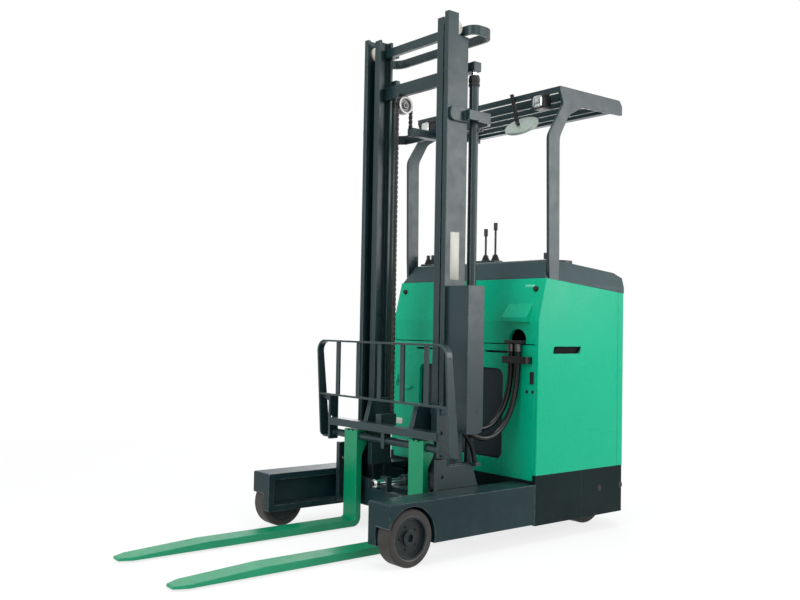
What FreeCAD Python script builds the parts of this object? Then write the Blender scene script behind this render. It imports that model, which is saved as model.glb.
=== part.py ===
# Stand-up electric reach truck, full size, in millimetres.
# X points ahead to the fork tips, Y to the truck's left, Z up from the floor.
# The drawing's datum is the axle of the load wheels: lengths ahead of it are plus, behind it minus.
# Every node is then moved by the sheet's originShift, so that the origin lies under the middle of the truck.
import FreeCAD, Part
import math
import os
import Sketcher

Vector = FreeCAD.Vector

SIZES = {
    # overall
    "halfWidth": 545.0,
    "tipReach": 1010.0,
    "rearReach": 1620.0,
    # chassis base, the dark skirt under the panels
    "baseBottom": 84.0,
    "baseTop": 329.0,
    "baseFront": 810.0,
    "sideRear": 1512.0,
    "rearTaper": 160.0,
    "deckTop": 262.0,
    "wellFloor": 290.0,
    "deckEdge": 40.0,
    "baseRound": 14.0,
    # straddle legs with the reach track on their inner side
    "legWide": 145.0,
    "legBottom": 92.0,
    "legTop": 284.0,
    "legNose": 129.0,
    "legRound": 9.0,
    "trackDepth": 40.0,
    "trackLip": 32.0,
    # load wheels
    "loadRadius": 127.0,
    "loadWidth": 86.0,
    "loadInset": 4.0,
    "loadHubRadius": 98.0,
    "loadHubDish": 20.0,
    "archGap": 12.0,
    "axlePin": 17.0,
    "pinFit": 0.3,
    # drive wheel and its turning unit
    "driveBehind": 1420.0,
    "driveInset": 215.0,
    "driveRadius": 165.0,
    "driveWidth": 110.0,
    "driveHubRadius": 110.0,
    "driveStub": 30.0,
    "driveBay": 180.0,
    "driveDrum": 3.0,
    "bayCut": 85.0,
    "driveRoof": 20.0,
    "tableGap": 8.0,
    "driveTable": 130.0,
    "driveTableThick": 26.0,
    "motorRadius": 98.0,
    "motorHeight": 300.0,
    "motorGap": 6.0,
    # caster
    "casterBehind": 1400.0,
    "casterInset": 200.0,
    "casterRadius": 75.0,
    "casterWidth": 44.0,
    "casterGap": 16.0,
    "casterTrail": 34.0,
    "casterBay": 140.0,
    "deckThick": 24.0,
    # body panels
    "panelThick": 22.0,
    "panelTop": 1306.0,
    "panelTopRear": 1252.0,
    "panelLean": 64.0,
    "panelBreak": 1090.0,
    "panelFoot": 300.0,
    "panelJoint": 974.0,
    "panelSeam": 5.0,
    "windowHalf": 316.0,
    "windowBottom": 380.0,
    "windowTop": 845.0,
    "windowRound": 42.0,
    "archLowInset": 193.0,
    "archHighInset": 81.0,
    "archTop": 1049.0,
    "archRound": 54.0,
    "bossHalf": 82.0,
    "bossGap": 36.0,
    "bossTop": 1218.0,
    "bossOut": 34.0,
    "slotNear": 185.0,
    "slotFar": 345.0,
    "slotFoot": 925.0,
    "slotHigh": 11.0,
    "gripRear": 1153.0,
    "gripFront": 931.0,
    "gripFoot": 928.0,
    "gripHigh": 36.0,
    "gripDeep": 11.0,
    # hoses from the front panel to the mast
    "hoseInnerInset": 160.0,
    "hoseOuterInset": 115.0,
    "hoseRadius": 15.0,
    "hoseBehind": 800.0,
    "glandTop": 992.0,
    "glandFoot": 976.0,
    "clampTop": 911.0,
    "clampFoot": 877.0,
    "clampNearInset": 197.0,
    "clampFarInset": 38.0,
    "clampOut": 49.0,
    "leadInset": 8.0,
    "leadRadius": 12.0,
    "leadBehind": 531.0,
    "portTop": 400.0,
    "hoseFit": 0.3,
    # battery
    "batteryInset": 55.0,
    "batteryGap": 24.0,
    "batteryFit": 6.0,
    "batteryLength": 285.0,
    "batteryTop": 985.0,
    # operator's place
    "bulkhead": 1170.0,
    "sillTop": 820.0,
    "innerWall": 30.0,
    "matThick": 12.0,
    "matGap": 6.0,
    "padThick": 50.0,
    "padRound": 30.0,
    "padBelow": 70.0,
    "padHigh": 260.0,
    "padAhead": 130.0,
    "padRear": 30.0,
    "housingWall": 8.0,
    "housingFit": 2.0,
    # hood
    "hoodTop": 1408.0,
    "hoodCrown": 1034.0,
    "hoodFront": 938.0,
    "hoodRearTop": 1362.0,
    "hoodSide": 50.0,
    "consoleTop": 1421.0,
    "consoleDeep": 12.0,
    "consoleMiddle": 37.0,
    "consoleHalf": 67.0,
    "sideConsoleInset": 100.0,
    "sideConsoleHalf": 47.0,
    "leverStick": 6.0,
    "leverGrip": 11.0,
    "leverTall": 208.0,
    "leverMiddle": 179.0,
    "leverShort": 54.0,
    "leverApart": 72.0,
    "leverPair": 40.0,
    "leverAhead": 24.0,
    "steerBoss": 1378.7,
    # overhead guard
    "pillarFront": 908.0,
    "pillarDepth": 72.0,
    "pillarInset": 8.0,
    "pillarThick": 16.0,
    "pillarSunk": 132.0,
    "pillarTop": 1450.0,
    "pillarBend": 2028.0,
    "guardTop": 2298.0,
    "guardUnder": 2209.0,
    "guardTip": 973.0,
    "guardRear": 1495.0,
    "slatThick": 16.0,
    "slatHigh": 44.0,
    "frontBar": 12.0,
    "frontBarHigh": 30.0,
    "lampWide": 84.0,
    "lampHigh": 76.0,
    "lampDeep": 58.0,
    "lampInset": 112.0,
    "lampRound": 14.0,
    "mirrorBehind": 978.0,
    "mirrorOut": 276.0,
    "mirrorHeight": 2133.0,
    "mirrorRadius": 90.0,
    "mirrorThick": 13.0,
    "mirrorArmTop": 2306.0,
    "mirrorArmWide": 20.0,
    "mirrorArmThick": 10.0,
    # outer mast
    "mastFront": 384.0,
    "mastDepth": 137.0,
    "mastInset": 66.0,
    "mastWeb": 13.0,
    "mastFlange": 18.0,
    "mastLip": 72.0,
    "mastFrontLip": 28.0,
    "mastTop": 2602.0,
    "mastFoot": 104.0,
    "mastNotch": 8.0,
    "coverFoot": 548.0,
    "coverTop": 1252.0,
    "coverDeep": 108.0,
    "coverWide": 146.0,
    "tieTop": 2122.0,
    "tieHigh": 48.0,
    "tieOut": 372.0,
    "tieRear": 690.0,
    "tieThick": 14.0,
    "tieBend": 50.0,
    # inner mast
    "innerInset": 61.0,
    "innerWeb": 14.0,
    "innerLipWide": 42.0,
    "innerFront": 407.0,
    "innerDepth": 91.0,
    "innerDrop": 12.0,
    "innerFoot": 150.0,
    "headDrop": 43.0,
    "headHigh": 46.0,
    "headOut": 382.0,
    "headRear": 668.0,
    "headThick": 16.0,
    "headBend": 52.0,
    "beamTop": 2337.0,
    "beamHigh": 68.0,
    "beamThick": 26.0,
    "slideGap": 5.0,
    "guideRadius": 38.0,
    "guideDrop": 67.0,
    "guideGap": 6.0,
    # lift cylinders and chain
    "liftBehind": 578.0,
    "liftInset": 12.0,
    "liftBarrel": 24.0,
    "liftRod": 15.0,
    "liftBarrelTop": 2312.0,
    "liftBarrelFoot": 330.0,
    "rodStub": 22.0,
    "rodHeadHigh": 46.0,
    "chainOut": -72.0,
    "chainBehind": 452.0,
    "chainHeight": 2212.0,
    "chainRadius": 42.0,
    "chainWide": 26.0,
    "chainThick": 10.0,
    "chainFoot": 600.0,
    "sheaveHalf": 18.0,
    "sheavePin": 10.0,
    "anchorTop": 2100.0,
    # reach carriage between the legs
    "frameFit": 8.0,
    "frameThick": 24.0,
    "frameNose": 293.0,
    "frameTail": 760.0,
    "frameTop": 425.0,
    "frameStep": 354.0,
    "frameLow": 392.0,
    "frameBolt": 10.0,
    "rollerAhead": 177.0,
    "crossFront": 347.0,
    "crossDeep": 32.0,
    "crossHigh": 252.0,
    "crossDip": 205.0,
    "crossDipHalf": 172.0,
    "rodNose": 276.0,
    "rollerRadius": 59.0,
    "rollerWide": 34.0,
    # fork carriage and load backrest
    "guardFoot": 73.0,
    "carriageBack": 318.0,
    "carriageFront": 262.0,
    "carriageTop": 672.0,
    "carriageFoot": 440.0,
    "armFoot": 330.0,
    "beamCarriageTop": 556.0,
    "beamCarriageHigh": 38.0,
    "shaftHeight": 474.0,
    "shaftRadius": 20.0,
    "shaftBehind": 309.0,
    "guardInset": 42.0,
    "rackPlate": 10.0,
    "rackBend": 62.0,
    "rackDeep": 38.0,
    "rackFootDeep": 60.0,
    "rackFootRound": 34.0,
    "rackFront": 233.0,
    "rackLean": 29.0,
    "uprightOut": 343.0,
    "uprightWide": 28.0,
    "rackTop": 972.0,
    "rackMid": 684.0,
    "rackFoot": 446.0,
    # forks
    "forkFace": 279.0,
    "forkOut": 254.0,
    "forkWide": 104.0,
    "forkThick": 34.0,
    "forkUnder": 10.0,
    "forkTop": 507.0,
    "forkHead": 348.0,
    "forkEye": 0.4,
    "forkTipThick": 12.0,
    "forkTaper": 420.0,
    "forkHeelIn": 16.0,
    "forkTipRun": 60.0,
    "forkTipIn": 26.0,
    "latchDeep": 12.0,
    "latchApart": 17.0,
    # small parts on the truck
    "steerRadius": 90.0,
    "steerHub": 24.0,
    "steerAhead": 55.0,
    "steerIn": 128.0,
    "reachOut": -60.0,
    "reachHeight": 250.0,
    "reachBarrel": 30.0,
    "reachRod": 16.0,
    "reachEnd": 470.0,
    "reachDeep": 1000.0,
}

DOC = FreeCAD.newDocument("reach_truck")
SHEET = DOC.addObject("Spreadsheet::Sheet", "Sizes")


class Size:
    """A length that carries the sheet formula it was worked out from."""

    def __init__(self, value, formula):
        self.value = value
        self.formula = formula

    def join(self, other, sign, turned=False):
        other = size(other)
        first, second = (other, self) if turned else (self, other)
        value = {
            "+": lambda a, b: a + b,
            "-": lambda a, b: a - b,
            "*": lambda a, b: a * b,
            "/": lambda a, b: a / b if b else 0.0,
        }[sign](first.value, second.value)
        return Size(value, "(%s %s %s)" % (first.formula, sign, second.formula))

    def __add__(self, other):
        return self.join(other, "+")

    def __radd__(self, other):
        return self.join(other, "+", True)

    def __sub__(self, other):
        return self.join(other, "-")

    def __rsub__(self, other):
        return self.join(other, "-", True)

    def __mul__(self, other):
        return self.join(other, "*")

    def __rmul__(self, other):
        return self.join(other, "*", True)

    def __truediv__(self, other):
        return self.join(other, "/")

    def __neg__(self):
        return self.join(0.0, "-", True)


def size(number):
    """A plain number as a Size, or a Size as it is."""
    if isinstance(number, Size):
        return number
    return Size(float(number), "(%.6f)" % number)


def fill_sheet():
    """Write each named size to its own cell."""
    for row, (alias, value) in enumerate(SIZES.items(), start=1):
        SHEET.set("A%d" % row, alias)
        SHEET.set("B%d" % row, "%g" % value)
        SHEET.setAlias("B%d" % row, alias)
    DOC.recompute()


fill_sheet()
NAMED = {alias: Size(value, "Sizes." + alias) for alias, value in SIZES.items()}


class Sheet:
    """The named sizes as attributes, such as S.legTop."""

    def __getattr__(self, alias):
        return NAMED[alias]


S = Sheet()
# Places that keep their distance from another piece.
NAMED["rearHalf"] = S.halfWidth - S.rearTaper
NAMED["legInner"] = S.halfWidth - S.legWide
NAMED["frameOut"] = S.legInner - S.frameFit
NAMED["mastOut"] = S.frameOut - S.mastInset
NAMED["innerOut"] = S.mastOut - S.innerInset
NAMED["innerLip"] = S.innerOut - S.innerLipWide
NAMED["liftOut"] = S.mastOut - S.liftInset
NAMED["loadFace"] = S.halfWidth - S.loadInset
NAMED["driveOut"] = S.halfWidth - S.driveInset
NAMED["casterOut"] = S.halfWidth - S.casterInset
NAMED["batteryHalf"] = S.halfWidth - S.batteryInset
NAMED["pillarOut"] = S.halfWidth - S.pillarInset
NAMED["lampOut"] = S.pillarOut - S.lampInset
NAMED["guardHalf"] = S.halfWidth - S.guardInset
NAMED["carriageOut"] = S.guardHalf - S.guardFoot
NAMED["innerTop"] = S.mastTop - S.innerDrop
NAMED["headTop"] = S.innerTop - S.headDrop
NAMED["guideHeight"] = S.mastTop - S.guideDrop
NAMED["bossFoot"] = S.archTop + S.bossGap
NAMED["pillarFoot"] = S.hoodTop - S.pillarSunk
NAMED["leadOut"] = S.frameOut + S.leadInset
NAMED["hoseInner"] = S.halfWidth - S.hoseInnerInset
NAMED["hoseOuter"] = S.halfWidth - S.hoseOuterInset
NAMED["archLow"] = S.halfWidth - S.archLowInset
NAMED["archHigh"] = S.halfWidth - S.archHighInset
NAMED["clampNear"] = S.halfWidth - S.clampNearInset
NAMED["clampFar"] = S.halfWidth - S.clampFarInset
ORIGIN_SHIFT = (S.rearReach - S.tipReach) / 2
NODES = []
PLACES = {}


def bind(thing, prop, length):
    """Tie one property of an object to the sheet."""
    thing.setExpression(prop, size(length).formula)


def place(thing, x=0.0, y=0.0, z=0.0):
    """Put an object at a point of the drawing."""
    PLACES[thing.Name] = size(x)
    for axis, length in (("x", x), ("y", y), ("z", z)):
        bind(thing, "Placement.Base." + axis, length)
    return thing


def block(name, x, y, z):
    """A box between two planes in each direction."""
    box = DOC.addObject("Part::Box", name)
    for prop, (low, high) in zip(("Length", "Width", "Height"), (x, y, z)):
        bind(box, prop, high - low)
    return place(box, x[0], y[0], z[0])


def drum(name, axis, ends, centre, radius):
    """A round bar along one axis; centre gives its two other coordinates."""
    bar = DOC.addObject("Part::Cylinder", name)
    turns = {"x": (Vector(0, 1, 0), 90), "y": (Vector(1, 0, 0), -90), "z": (Vector(0, 0, 1), 0)}
    bar.Placement = FreeCAD.Placement(Vector(), FreeCAD.Rotation(*turns[axis]))
    bind(bar, "Radius", radius)
    bind(bar, "Height", ends[1] - ends[0])
    first, second = centre
    spots = {"x": (ends[0], first, second), "y": (first, ends[0], second), "z": (first, second, ends[0])}
    return place(bar, *spots[axis])


def origin_plane(body, role):
    """One of a body's own origin planes, found by its role."""
    return [plane for plane in body.Origin.OriginFeatures if plane.Role == role][0]


def outline_sketch(body, role, points, offset):
    """A closed outline whose corners are measured from the body's origin."""
    sketch = body.newObject("Sketcher::SketchObject", body.Name + "_outline")
    sketch.AttachmentSupport = [(origin_plane(body, role), "")]
    sketch.MapMode = "FlatFace"
    bind(sketch, "AttachmentOffset.Base.z", offset)
    corners = [Vector(size(a).value, size(b).value, 0) for a, b in points]
    for index, corner in enumerate(corners):
        sketch.addGeometry(Part.LineSegment(corner, corners[(index + 1) % len(corners)]), False)
    for index in range(len(corners)):
        following = (index + 1) % len(corners)
        sketch.addConstraint(Sketcher.Constraint("Coincident", index, 2, following, 1))
    for index, (across, along) in enumerate(points):
        for kind, length in (("DistanceX", across), ("DistanceY", along)):
            number = sketch.addConstraint(Sketcher.Constraint(kind, -1, 1, index, 1, size(length).value))
            bind(sketch, "Constraints[%d]" % number, length)
    return sketch


def round_corners(body, feature, role, points, rounds):
    """Fillet the edges that run through the given corners of the outline."""
    groups = {}
    for corner, radius in rounds.items():
        groups.setdefault(size(radius).formula, (radius, []))[1].append(corner)
    normal = {"XY_Plane": 2, "XZ_Plane": 1, "YZ_Plane": 0}[role]
    flat = [axis for axis in range(3) if axis != normal]
    for radius, corners in groups.values():
        DOC.recompute([body, feature])
        edges = []
        for number, edge in enumerate(feature.Shape.Edges, start=1):
            ends = [vertex.Point for vertex in edge.Vertexes]
            if len(ends) != 2 or abs(ends[0][normal] - ends[1][normal]) < 0.5:
                continue
            for corner in corners:
                spot = [size(part).value for part in points[corner]]
                if all(abs(end[axis] - spot[k]) < 0.01 for end in ends for k, axis in enumerate(flat)):
                    edges.append("Edge%d" % number)
        fillet = body.newObject("PartDesign::Fillet", body.Name + "_round")
        fillet.Base = (feature, edges)
        bind(fillet, "Radius", radius)
        body.Tip = fillet
        feature = fillet
    return feature


def slab(name, role, points, low, high, rounds=None):
    """A plate: an outline in one plane, padded between two heights along the plane's normal."""
    body = DOC.addObject("PartDesign::Body", name)
    thickness = high - low
    offset = -size(high) if role == "XZ_Plane" else low
    sketch = outline_sketch(body, role, points, offset)
    pad = body.newObject("PartDesign::Pad", name + "_pad")
    pad.Profile = sketch
    bind(pad, "Length", thickness)
    body.Tip = pad
    DOC.recompute()
    if rounds:
        round_corners(body, pad, role, points, rounds)
        DOC.recompute()
    sketch.Visibility = False
    return body


def turned(name, points, x, y, z, axis="y"):
    """A turned piece: a profile of (radius, along) pairs spun round an axis through a point."""
    body = DOC.addObject("PartDesign::Body", name)
    role = {"y": "XY_Plane", "z": "XZ_Plane"}[axis]
    sketch = outline_sketch(body, role, points, 0.0)
    spin = body.newObject("PartDesign::Revolution", name + "_spin")
    spin.Profile = sketch
    spin.ReferenceAxis = (sketch, ["V_Axis"])
    spin.Angle = 360.0
    body.Tip = spin
    DOC.recompute()
    return place(body, x, y, z)


def cut(name, base, *tools):
    """The base less every tool."""
    result = base
    for number, tool in enumerate(tools):
        step = DOC.addObject("Part::Cut", "%s_%d" % (name, number))
        step.Base = result
        step.Tool = tool
        result = step
    DOC.recompute()
    return result


def fuse(name, *pieces):
    """Pieces welded into one."""
    result = DOC.addObject("Part::MultiFuse", name)
    result.Shapes = list(pieces)
    result.Refine = True
    DOC.recompute()
    return result


def group(name, *pieces):
    """Like pieces that stand apart but share a node."""
    result = DOC.addObject("Part::Compound", name)
    result.Links = list(pieces)
    DOC.recompute()
    return result


def node(thing, label):
    """Name a finished piece and move it to the shared origin."""
    thing.Label = label
    bind(thing, "Placement.Base.x", PLACES.get(thing.Name, size(0.0)) + ORIGIN_SHIFT)
    NODES.append(thing)
    return thing


# ---------------------------------------------------------------- chassis base
def battery_span():
    """X of the battery's rear and front faces."""
    front = -S.baseFront - S.panelThick - S.batteryGap
    return front - S.batteryLength, front


def chassis_base():
    """The front half of the welded base: a dark skirt round the battery's well, with the panels' ledge."""
    skirt = slab(
        "base_skirt", "XY_Plane",
        [(-S.baseFront, -S.halfWidth), (-S.baseFront, S.halfWidth), (-S.bulkhead, S.halfWidth),
         (-S.bulkhead, -S.halfWidth)],
        S.baseBottom, S.baseTop,
    )
    battery_back, battery_front = battery_span()
    well = block(
        "base_battery_well",
        (battery_back - S.batteryFit, -S.baseFront - S.panelThick),
        (-S.batteryHalf - 8, S.batteryHalf + 8),
        (S.wellFloor, S.baseTop + 1),
    )
    ledge = block(
        "base_panel_ledge",
        (-S.baseFront - S.panelThick - 10, -S.baseFront + 1),
        (-S.halfWidth + S.panelThick, S.halfWidth - S.panelThick),
        (S.panelFoot, S.baseTop + 1),
    )
    socket = drum("base_reach_socket", "x", (-S.reachDeep, -S.baseFront + 1), (S.reachOut, S.reachHeight),
                  S.reachBarrel)
    node(cut("base", skirt, well, ledge, socket), "chassis_base")


def drive_bay(wall):
    """Plan of the drive wheel's bay, grown by a wall: square, with the rear corner cut off."""
    half = S.driveBay + wall
    low_x = -S.driveBehind - half
    high_x = -S.driveBehind + half
    low_y = S.driveOut - half
    high_y = S.driveOut + half
    return [(high_x, low_y), (high_x, high_y), (low_x + S.bayCut, high_y), (low_x, high_y - S.bayCut * 1.48),
            (low_x, low_y)]


def rear_base():
    """The rear half of the base: the drive wheel's bay, the caster's bay and the operator's floor."""
    outline = [
        (-S.bulkhead, -S.halfWidth),
        (-S.bulkhead, S.halfWidth),
        (-S.sideRear, S.halfWidth),
        (-S.rearReach, S.rearHalf),
        (-S.rearReach, -S.rearHalf),
        (-S.sideRear, -S.halfWidth),
    ]
    rounds = {2: S.baseRound, 5: S.baseRound}
    skirt = slab("rear_skirt", "XY_Plane", outline, S.baseBottom, S.baseTop, rounds)
    drive_spot = (-S.driveBehind, S.driveOut)
    roof = S.driveRadius * 2 + S.tableGap + S.driveTableThick + S.pinFit
    tower = slab("rear_drive_tower", "XY_Plane", drive_bay(S.driveDrum), S.baseTop - 1, roof + S.driveRoof)
    bay = slab("rear_drive_bay", "XY_Plane", drive_bay(size(0.0)), S.baseBottom - 1, roof)
    throat = drum("rear_drive_throat", "z", (roof - 1, roof + S.driveRoof + 1), drive_spot,
                  S.motorRadius + S.motorGap)
    caster_bay = block(
        "rear_caster_bay", (-S.casterBehind - S.casterBay, -S.casterBehind + S.casterBay),
        (-S.casterOut - S.casterBay, -S.casterOut + S.casterBay), (S.baseBottom - 1, S.deckTop - S.deckThick),
    )
    deck = block(
        "rear_deck_pocket",
        (-S.rearReach - 1, -S.bulkhead + 1),
        (-S.halfWidth + S.deckEdge, S.innerWall - S.panelThick),
        (S.deckTop, S.baseTop + 1),
    )
    whole = fuse("rear_tower", skirt, tower)
    node(cut("rear", whole, bay, throat, caster_bay, deck), "rear_base")


# ---------------------------------------------------------------- straddle legs
def leg(side, name):
    """One box-section leg: the reach track is a channel on its inner side, the wheel sits in an arch."""
    def across(near, far):
        return (near, far) if side > 0 else (-far, -near)

    corners = [
        (-S.baseFront, S.legBottom),
        (S.legNose, S.legBottom),
        (S.legNose, S.legTop),
        (-S.baseFront, S.legTop),
    ]
    low, high = across(S.legInner, S.halfWidth)
    beam = slab(name + "_beam", "XZ_Plane", corners, low, high, {1: S.legRound, 2: S.legRound})
    track = block(
        name + "_track",
        (-S.baseFront - 1, S.legNose - S.trackLip),
        across(S.legInner - 1, S.legInner + S.trackDepth),
        (S.legBottom + S.trackLip, S.legTop - S.trackLip),
    )
    arch_inner = S.loadFace - S.loadWidth - 6
    arch = drum(
        name + "_arch", "y", across(arch_inner, S.halfWidth + 1), (size(0.0), S.loadRadius),
        S.loadRadius + S.archGap,
    )
    pin = drum(
        name + "_pin", "y", across(arch_inner - 1, S.loadFace - S.loadHubDish), (size(0.0), S.loadRadius),
        S.axlePin,
    )
    node(fuse(name, cut(name + "_cut", beam, track, arch), pin), name)


# ---------------------------------------------------------------- load wheels
def load_wheel(side, name):
    """A solid tyre pressed on a dished hub that turns on the leg's axle pin."""
    half = S.loadWidth / 2
    centre = (S.loadFace - half) * side
    tyre = [
        (S.loadHubRadius, -half),
        (S.loadRadius - 8, -half),
        (S.loadRadius, -half + 8),
        (S.loadRadius, half - 8),
        (S.loadRadius - 8, half),
        (S.loadHubRadius, half),
    ]
    node(turned(name + "_tyre_body", tyre, 0.0, centre, S.loadRadius), name + "_tyre")
    bore = S.axlePin + S.pinFit
    dish = S.loadHubDish * side
    hub = [
        (bore, -half + 2),
        (S.loadHubRadius, -half + 2),
        (S.loadHubRadius, half - 2),
        (S.loadHubRadius - 12, half - 2),
        (S.loadHubRadius - 16, half - S.loadHubDish),
        (bore + 18, half - S.loadHubDish),
        (bore + 18, half - 8),
        (bore, half - 8),
    ]
    if side < 0:
        hub = [(radius, -along) for radius, along in reversed(hub)]
    node(turned(name + "_hub_body", hub, 0.0, centre, S.loadRadius), name + "_hub")


# ---------------------------------------------------------------- drive wheel and caster
def drive_unit():
    """The steered drive: a slew table under its drum, a side gearbox, and the traction motor above."""
    half = S.driveWidth / 2
    low = S.driveRadius * 2 + S.tableGap
    spot = (-S.driveBehind, S.driveOut)
    table = drum("drive_table", "z", (low, low + S.driveTableThick), spot, S.driveTable)
    motor = drum("drive_motor", "z", (low + S.driveTableThick - 1, low + S.driveTableThick + S.motorHeight),
                 spot,
                 S.motorRadius)
    gearbox = slab(
        "drive_gearbox", "XZ_Plane",
        [
            (-S.driveBehind - 62, S.driveRadius - 62),
            (-S.driveBehind + 62, S.driveRadius - 62),
            (-S.driveBehind + 62, low + 1),
            (-S.driveBehind - 62, low + 1),
        ],
        S.driveOut - half - 56, S.driveOut - half - 6, {0: size(50.0), 1: size(50.0)},
    )
    stub = drum("drive_stub", "y", (S.driveOut - half - 7, S.driveOut + half - 20),
                (-S.driveBehind, S.driveRadius),
                S.driveStub)
    node(fuse("drive_fused", table, motor, gearbox, stub), "drive_unit")
    tyre = [
        (S.driveHubRadius, -half),
        (S.driveRadius - 8, -half),
        (S.driveRadius, -half + 8),
        (S.driveRadius, half - 8),
        (S.driveRadius - 8, half),
        (S.driveHubRadius, half),
    ]
    node(turned("drive_tyre_body", tyre, -S.driveBehind, S.driveOut, S.driveRadius), "drive_tyre")
    hub = [
        (S.driveStub + S.pinFit, -half + 2),
        (S.driveHubRadius, -half + 2),
        (S.driveHubRadius, half - 2),
        (S.driveHubRadius - 14, half - 2),
        (S.driveHubRadius - 20, half - 16),
        (S.driveStub + S.pinFit, half - 16),
    ]
    node(turned("drive_hub_body", hub, -S.driveBehind, S.driveOut, S.driveRadius), "drive_hub")


def caster():
    """The balancing caster under the operator's floor: twin wheels on a trailing fork."""
    axle = -S.casterBehind - S.casterTrail
    inner = S.casterGap / 2
    top = S.casterRadius * 2
    plate = drum(
        "caster_plate", "z", (top + 42, S.deckTop - S.deckThick - S.pinFit), (-S.casterBehind, -S.casterOut),
        size(60.0)
    )
    stem = slab(
        "caster_stem", "XZ_Plane",
        [
            (axle - 16, S.casterRadius - 16),
            (axle + 16, S.casterRadius - 16),
            (-S.casterBehind + 40, top + 43),
            (-S.casterBehind - 40, top + 43),
        ],
        -S.casterOut - inner + 1, -S.casterOut + inner - 1,
    )
    pin = drum(
        "caster_pin", "y", (-S.casterOut - inner - S.casterWidth, -S.casterOut + inner + S.casterWidth),
        (axle, S.casterRadius), size(9.0),
    )
    node(fuse("caster_fused", plate, stem, pin), "caster_fork")
    wheels = []
    for number, side in enumerate((-1, 1)):
        rim = [
            (9.3, -S.casterWidth / 2),
            (S.casterRadius - 5, -S.casterWidth / 2),
            (S.casterRadius, -S.casterWidth / 2 + 5),
            (S.casterRadius, S.casterWidth / 2 - 5),
            (S.casterRadius - 5, S.casterWidth / 2),
            (9.3, S.casterWidth / 2),
        ]
        centre = -S.casterOut + (inner + S.casterWidth / 2) * side
        wheels.append(turned("caster_wheel_%d" % number, rim, axle, centre, S.casterRadius))
    node(group("caster_pair", *wheels), "caster_wheels")


# ---------------------------------------------------------------- battery and body panels
def battery():
    """The traction battery, one closed steel tray."""
    tray = block("battery_tray", battery_span(), (-S.batteryHalf, S.batteryHalf), (S.wellFloor, S.batteryTop))
    node(tray, "battery")


def front_profile(inset):
    """X of the front panel at its foot, at its break and at its top, set back by an inset."""
    foot = -S.baseFront - 2 - inset
    middle = foot - 8
    top = -S.baseFront - S.panelLean - inset
    return foot, middle, top


def front_panels():
    """The two green front sheets: a lower one with the battery window and an upper one that leans back."""
    foot, middle, top = front_profile(0.0)
    back_foot, back_middle, back_top = front_profile(S.panelThick)
    lower = slab(
        "front_lower_sheet", "XZ_Plane",
        [(foot, S.panelFoot), (middle, S.panelJoint - S.panelSeam), (back_middle, S.panelJoint - S.panelSeam),
         (back_foot, S.panelFoot)],
        -S.halfWidth + S.panelThick, S.halfWidth - S.panelThick,
    )
    window = slab(
        "front_window_tool", "YZ_Plane",
        [(-S.windowHalf, S.windowBottom), (S.windowHalf, S.windowBottom), (S.windowHalf, S.windowTop),
         (-S.windowHalf, S.windowTop)],
        back_middle - 20, foot + 20, {corner: S.windowRound for corner in range(4)},
    )
    slots = []
    for number, side in enumerate((-1, 1)):
        slots.append(block("front_slot_%d" % number, (back_middle - 5, middle + 9),
                           mirrored(S.slotNear, S.slotFar, side), (S.slotFoot, S.slotFoot + S.slotHigh)))
    node(cut("front_lower", lower, window, *slots), "front_panel_lower")
    upper = slab(
        "front_upper_sheet", "XZ_Plane",
        [(middle, S.panelJoint), (middle, S.panelBreak), (top, S.panelTop), (back_top, top_line(back_top)),
         (back_middle, S.panelBreak), (back_middle, S.panelJoint)],
        -S.halfWidth + S.panelThick, S.halfWidth - S.panelThick,
    )
    arch = slab(
        "front_arch_tool", "YZ_Plane",
        [(S.archLow, S.panelJoint - 1), (S.archHigh, S.panelJoint - 1), (S.archHigh, S.archTop),
         (S.archLow, S.archTop)],
        back_middle - 20, middle + 20, {2: S.archRound, 3: S.archRound},
    )
    centre = (S.archLow + S.archHigh) / 2
    boss = slab(
        "front_boss", "XZ_Plane",
        [(middle - 6, S.bossFoot), (middle + S.bossOut, S.bossFoot), (middle + S.bossOut, S.bossFoot + 22),
         (top, S.bossTop), (top, S.panelBreak + 60)],
        centre - S.bossHalf, centre + S.bossHalf,
    )
    node(cut("front_upper", fuse("front_upper_whole", upper, boss), arch), "front_panel_upper")


def pillar_block(name, side):
    """The room that a guard pillar's foot takes in the panels and the hood."""
    return block(
        name, (-S.pillarFront - S.pillarDepth, -S.pillarFront + 8),
        mirrored(S.pillarOut - S.pillarThick, S.pillarOut, side), (S.pillarFoot, S.hoodTop + 40),
    )


def top_line(x):
    """Z of the panels' sloping top edge at a given X."""
    foot, middle, top = front_profile(0.0)
    drop = (S.panelTop - S.panelTopRear) / (S.sideRear + top)
    return S.panelTop - (top - x) * drop


def side_panels():
    """The side sheets: full height on the left, dropping to the entry sill on the right."""
    foot, middle, top = front_profile(0.0)
    left = slab(
        "side_left", "XZ_Plane",
        [(foot, S.baseTop), (middle, S.panelBreak), (top, S.panelTop), (-S.sideRear, S.panelTopRear),
         (-S.sideRear, S.baseTop)],
        S.halfWidth - S.panelThick, S.halfWidth,
    )
    grip = slab(
        "side_left_grip", "XZ_Plane",
        [(-S.gripFront, S.gripFoot), (-S.gripFront - 8, S.gripFoot + S.gripHigh),
         (-S.gripRear, S.gripFoot + S.gripHigh),
         (-S.gripRear + 8, S.gripFoot)],
        S.halfWidth - S.gripDeep, S.halfWidth + 1,
    )
    node(cut("side_left_cut", left, grip, pillar_block("side_left_notch", 1)), "side_panel_left")
    right = slab(
        "side_right", "XZ_Plane",
        [(foot, S.baseTop), (middle, S.panelBreak), (top, S.panelTop),
         (-S.bulkhead + 20, S.panelTopRear + 22),
         (-S.bulkhead - 60, S.sillTop), (-S.sideRear, S.sillTop - 40), (-S.sideRear, S.baseTop)],
        -S.halfWidth, -S.halfWidth + S.panelThick,
        {3: size(40.0), 4: size(80.0), 5: size(60.0)},
    )
    node(cut("side_right_cut", right, pillar_block("side_right_notch", -1)), "side_panel_right")


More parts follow.
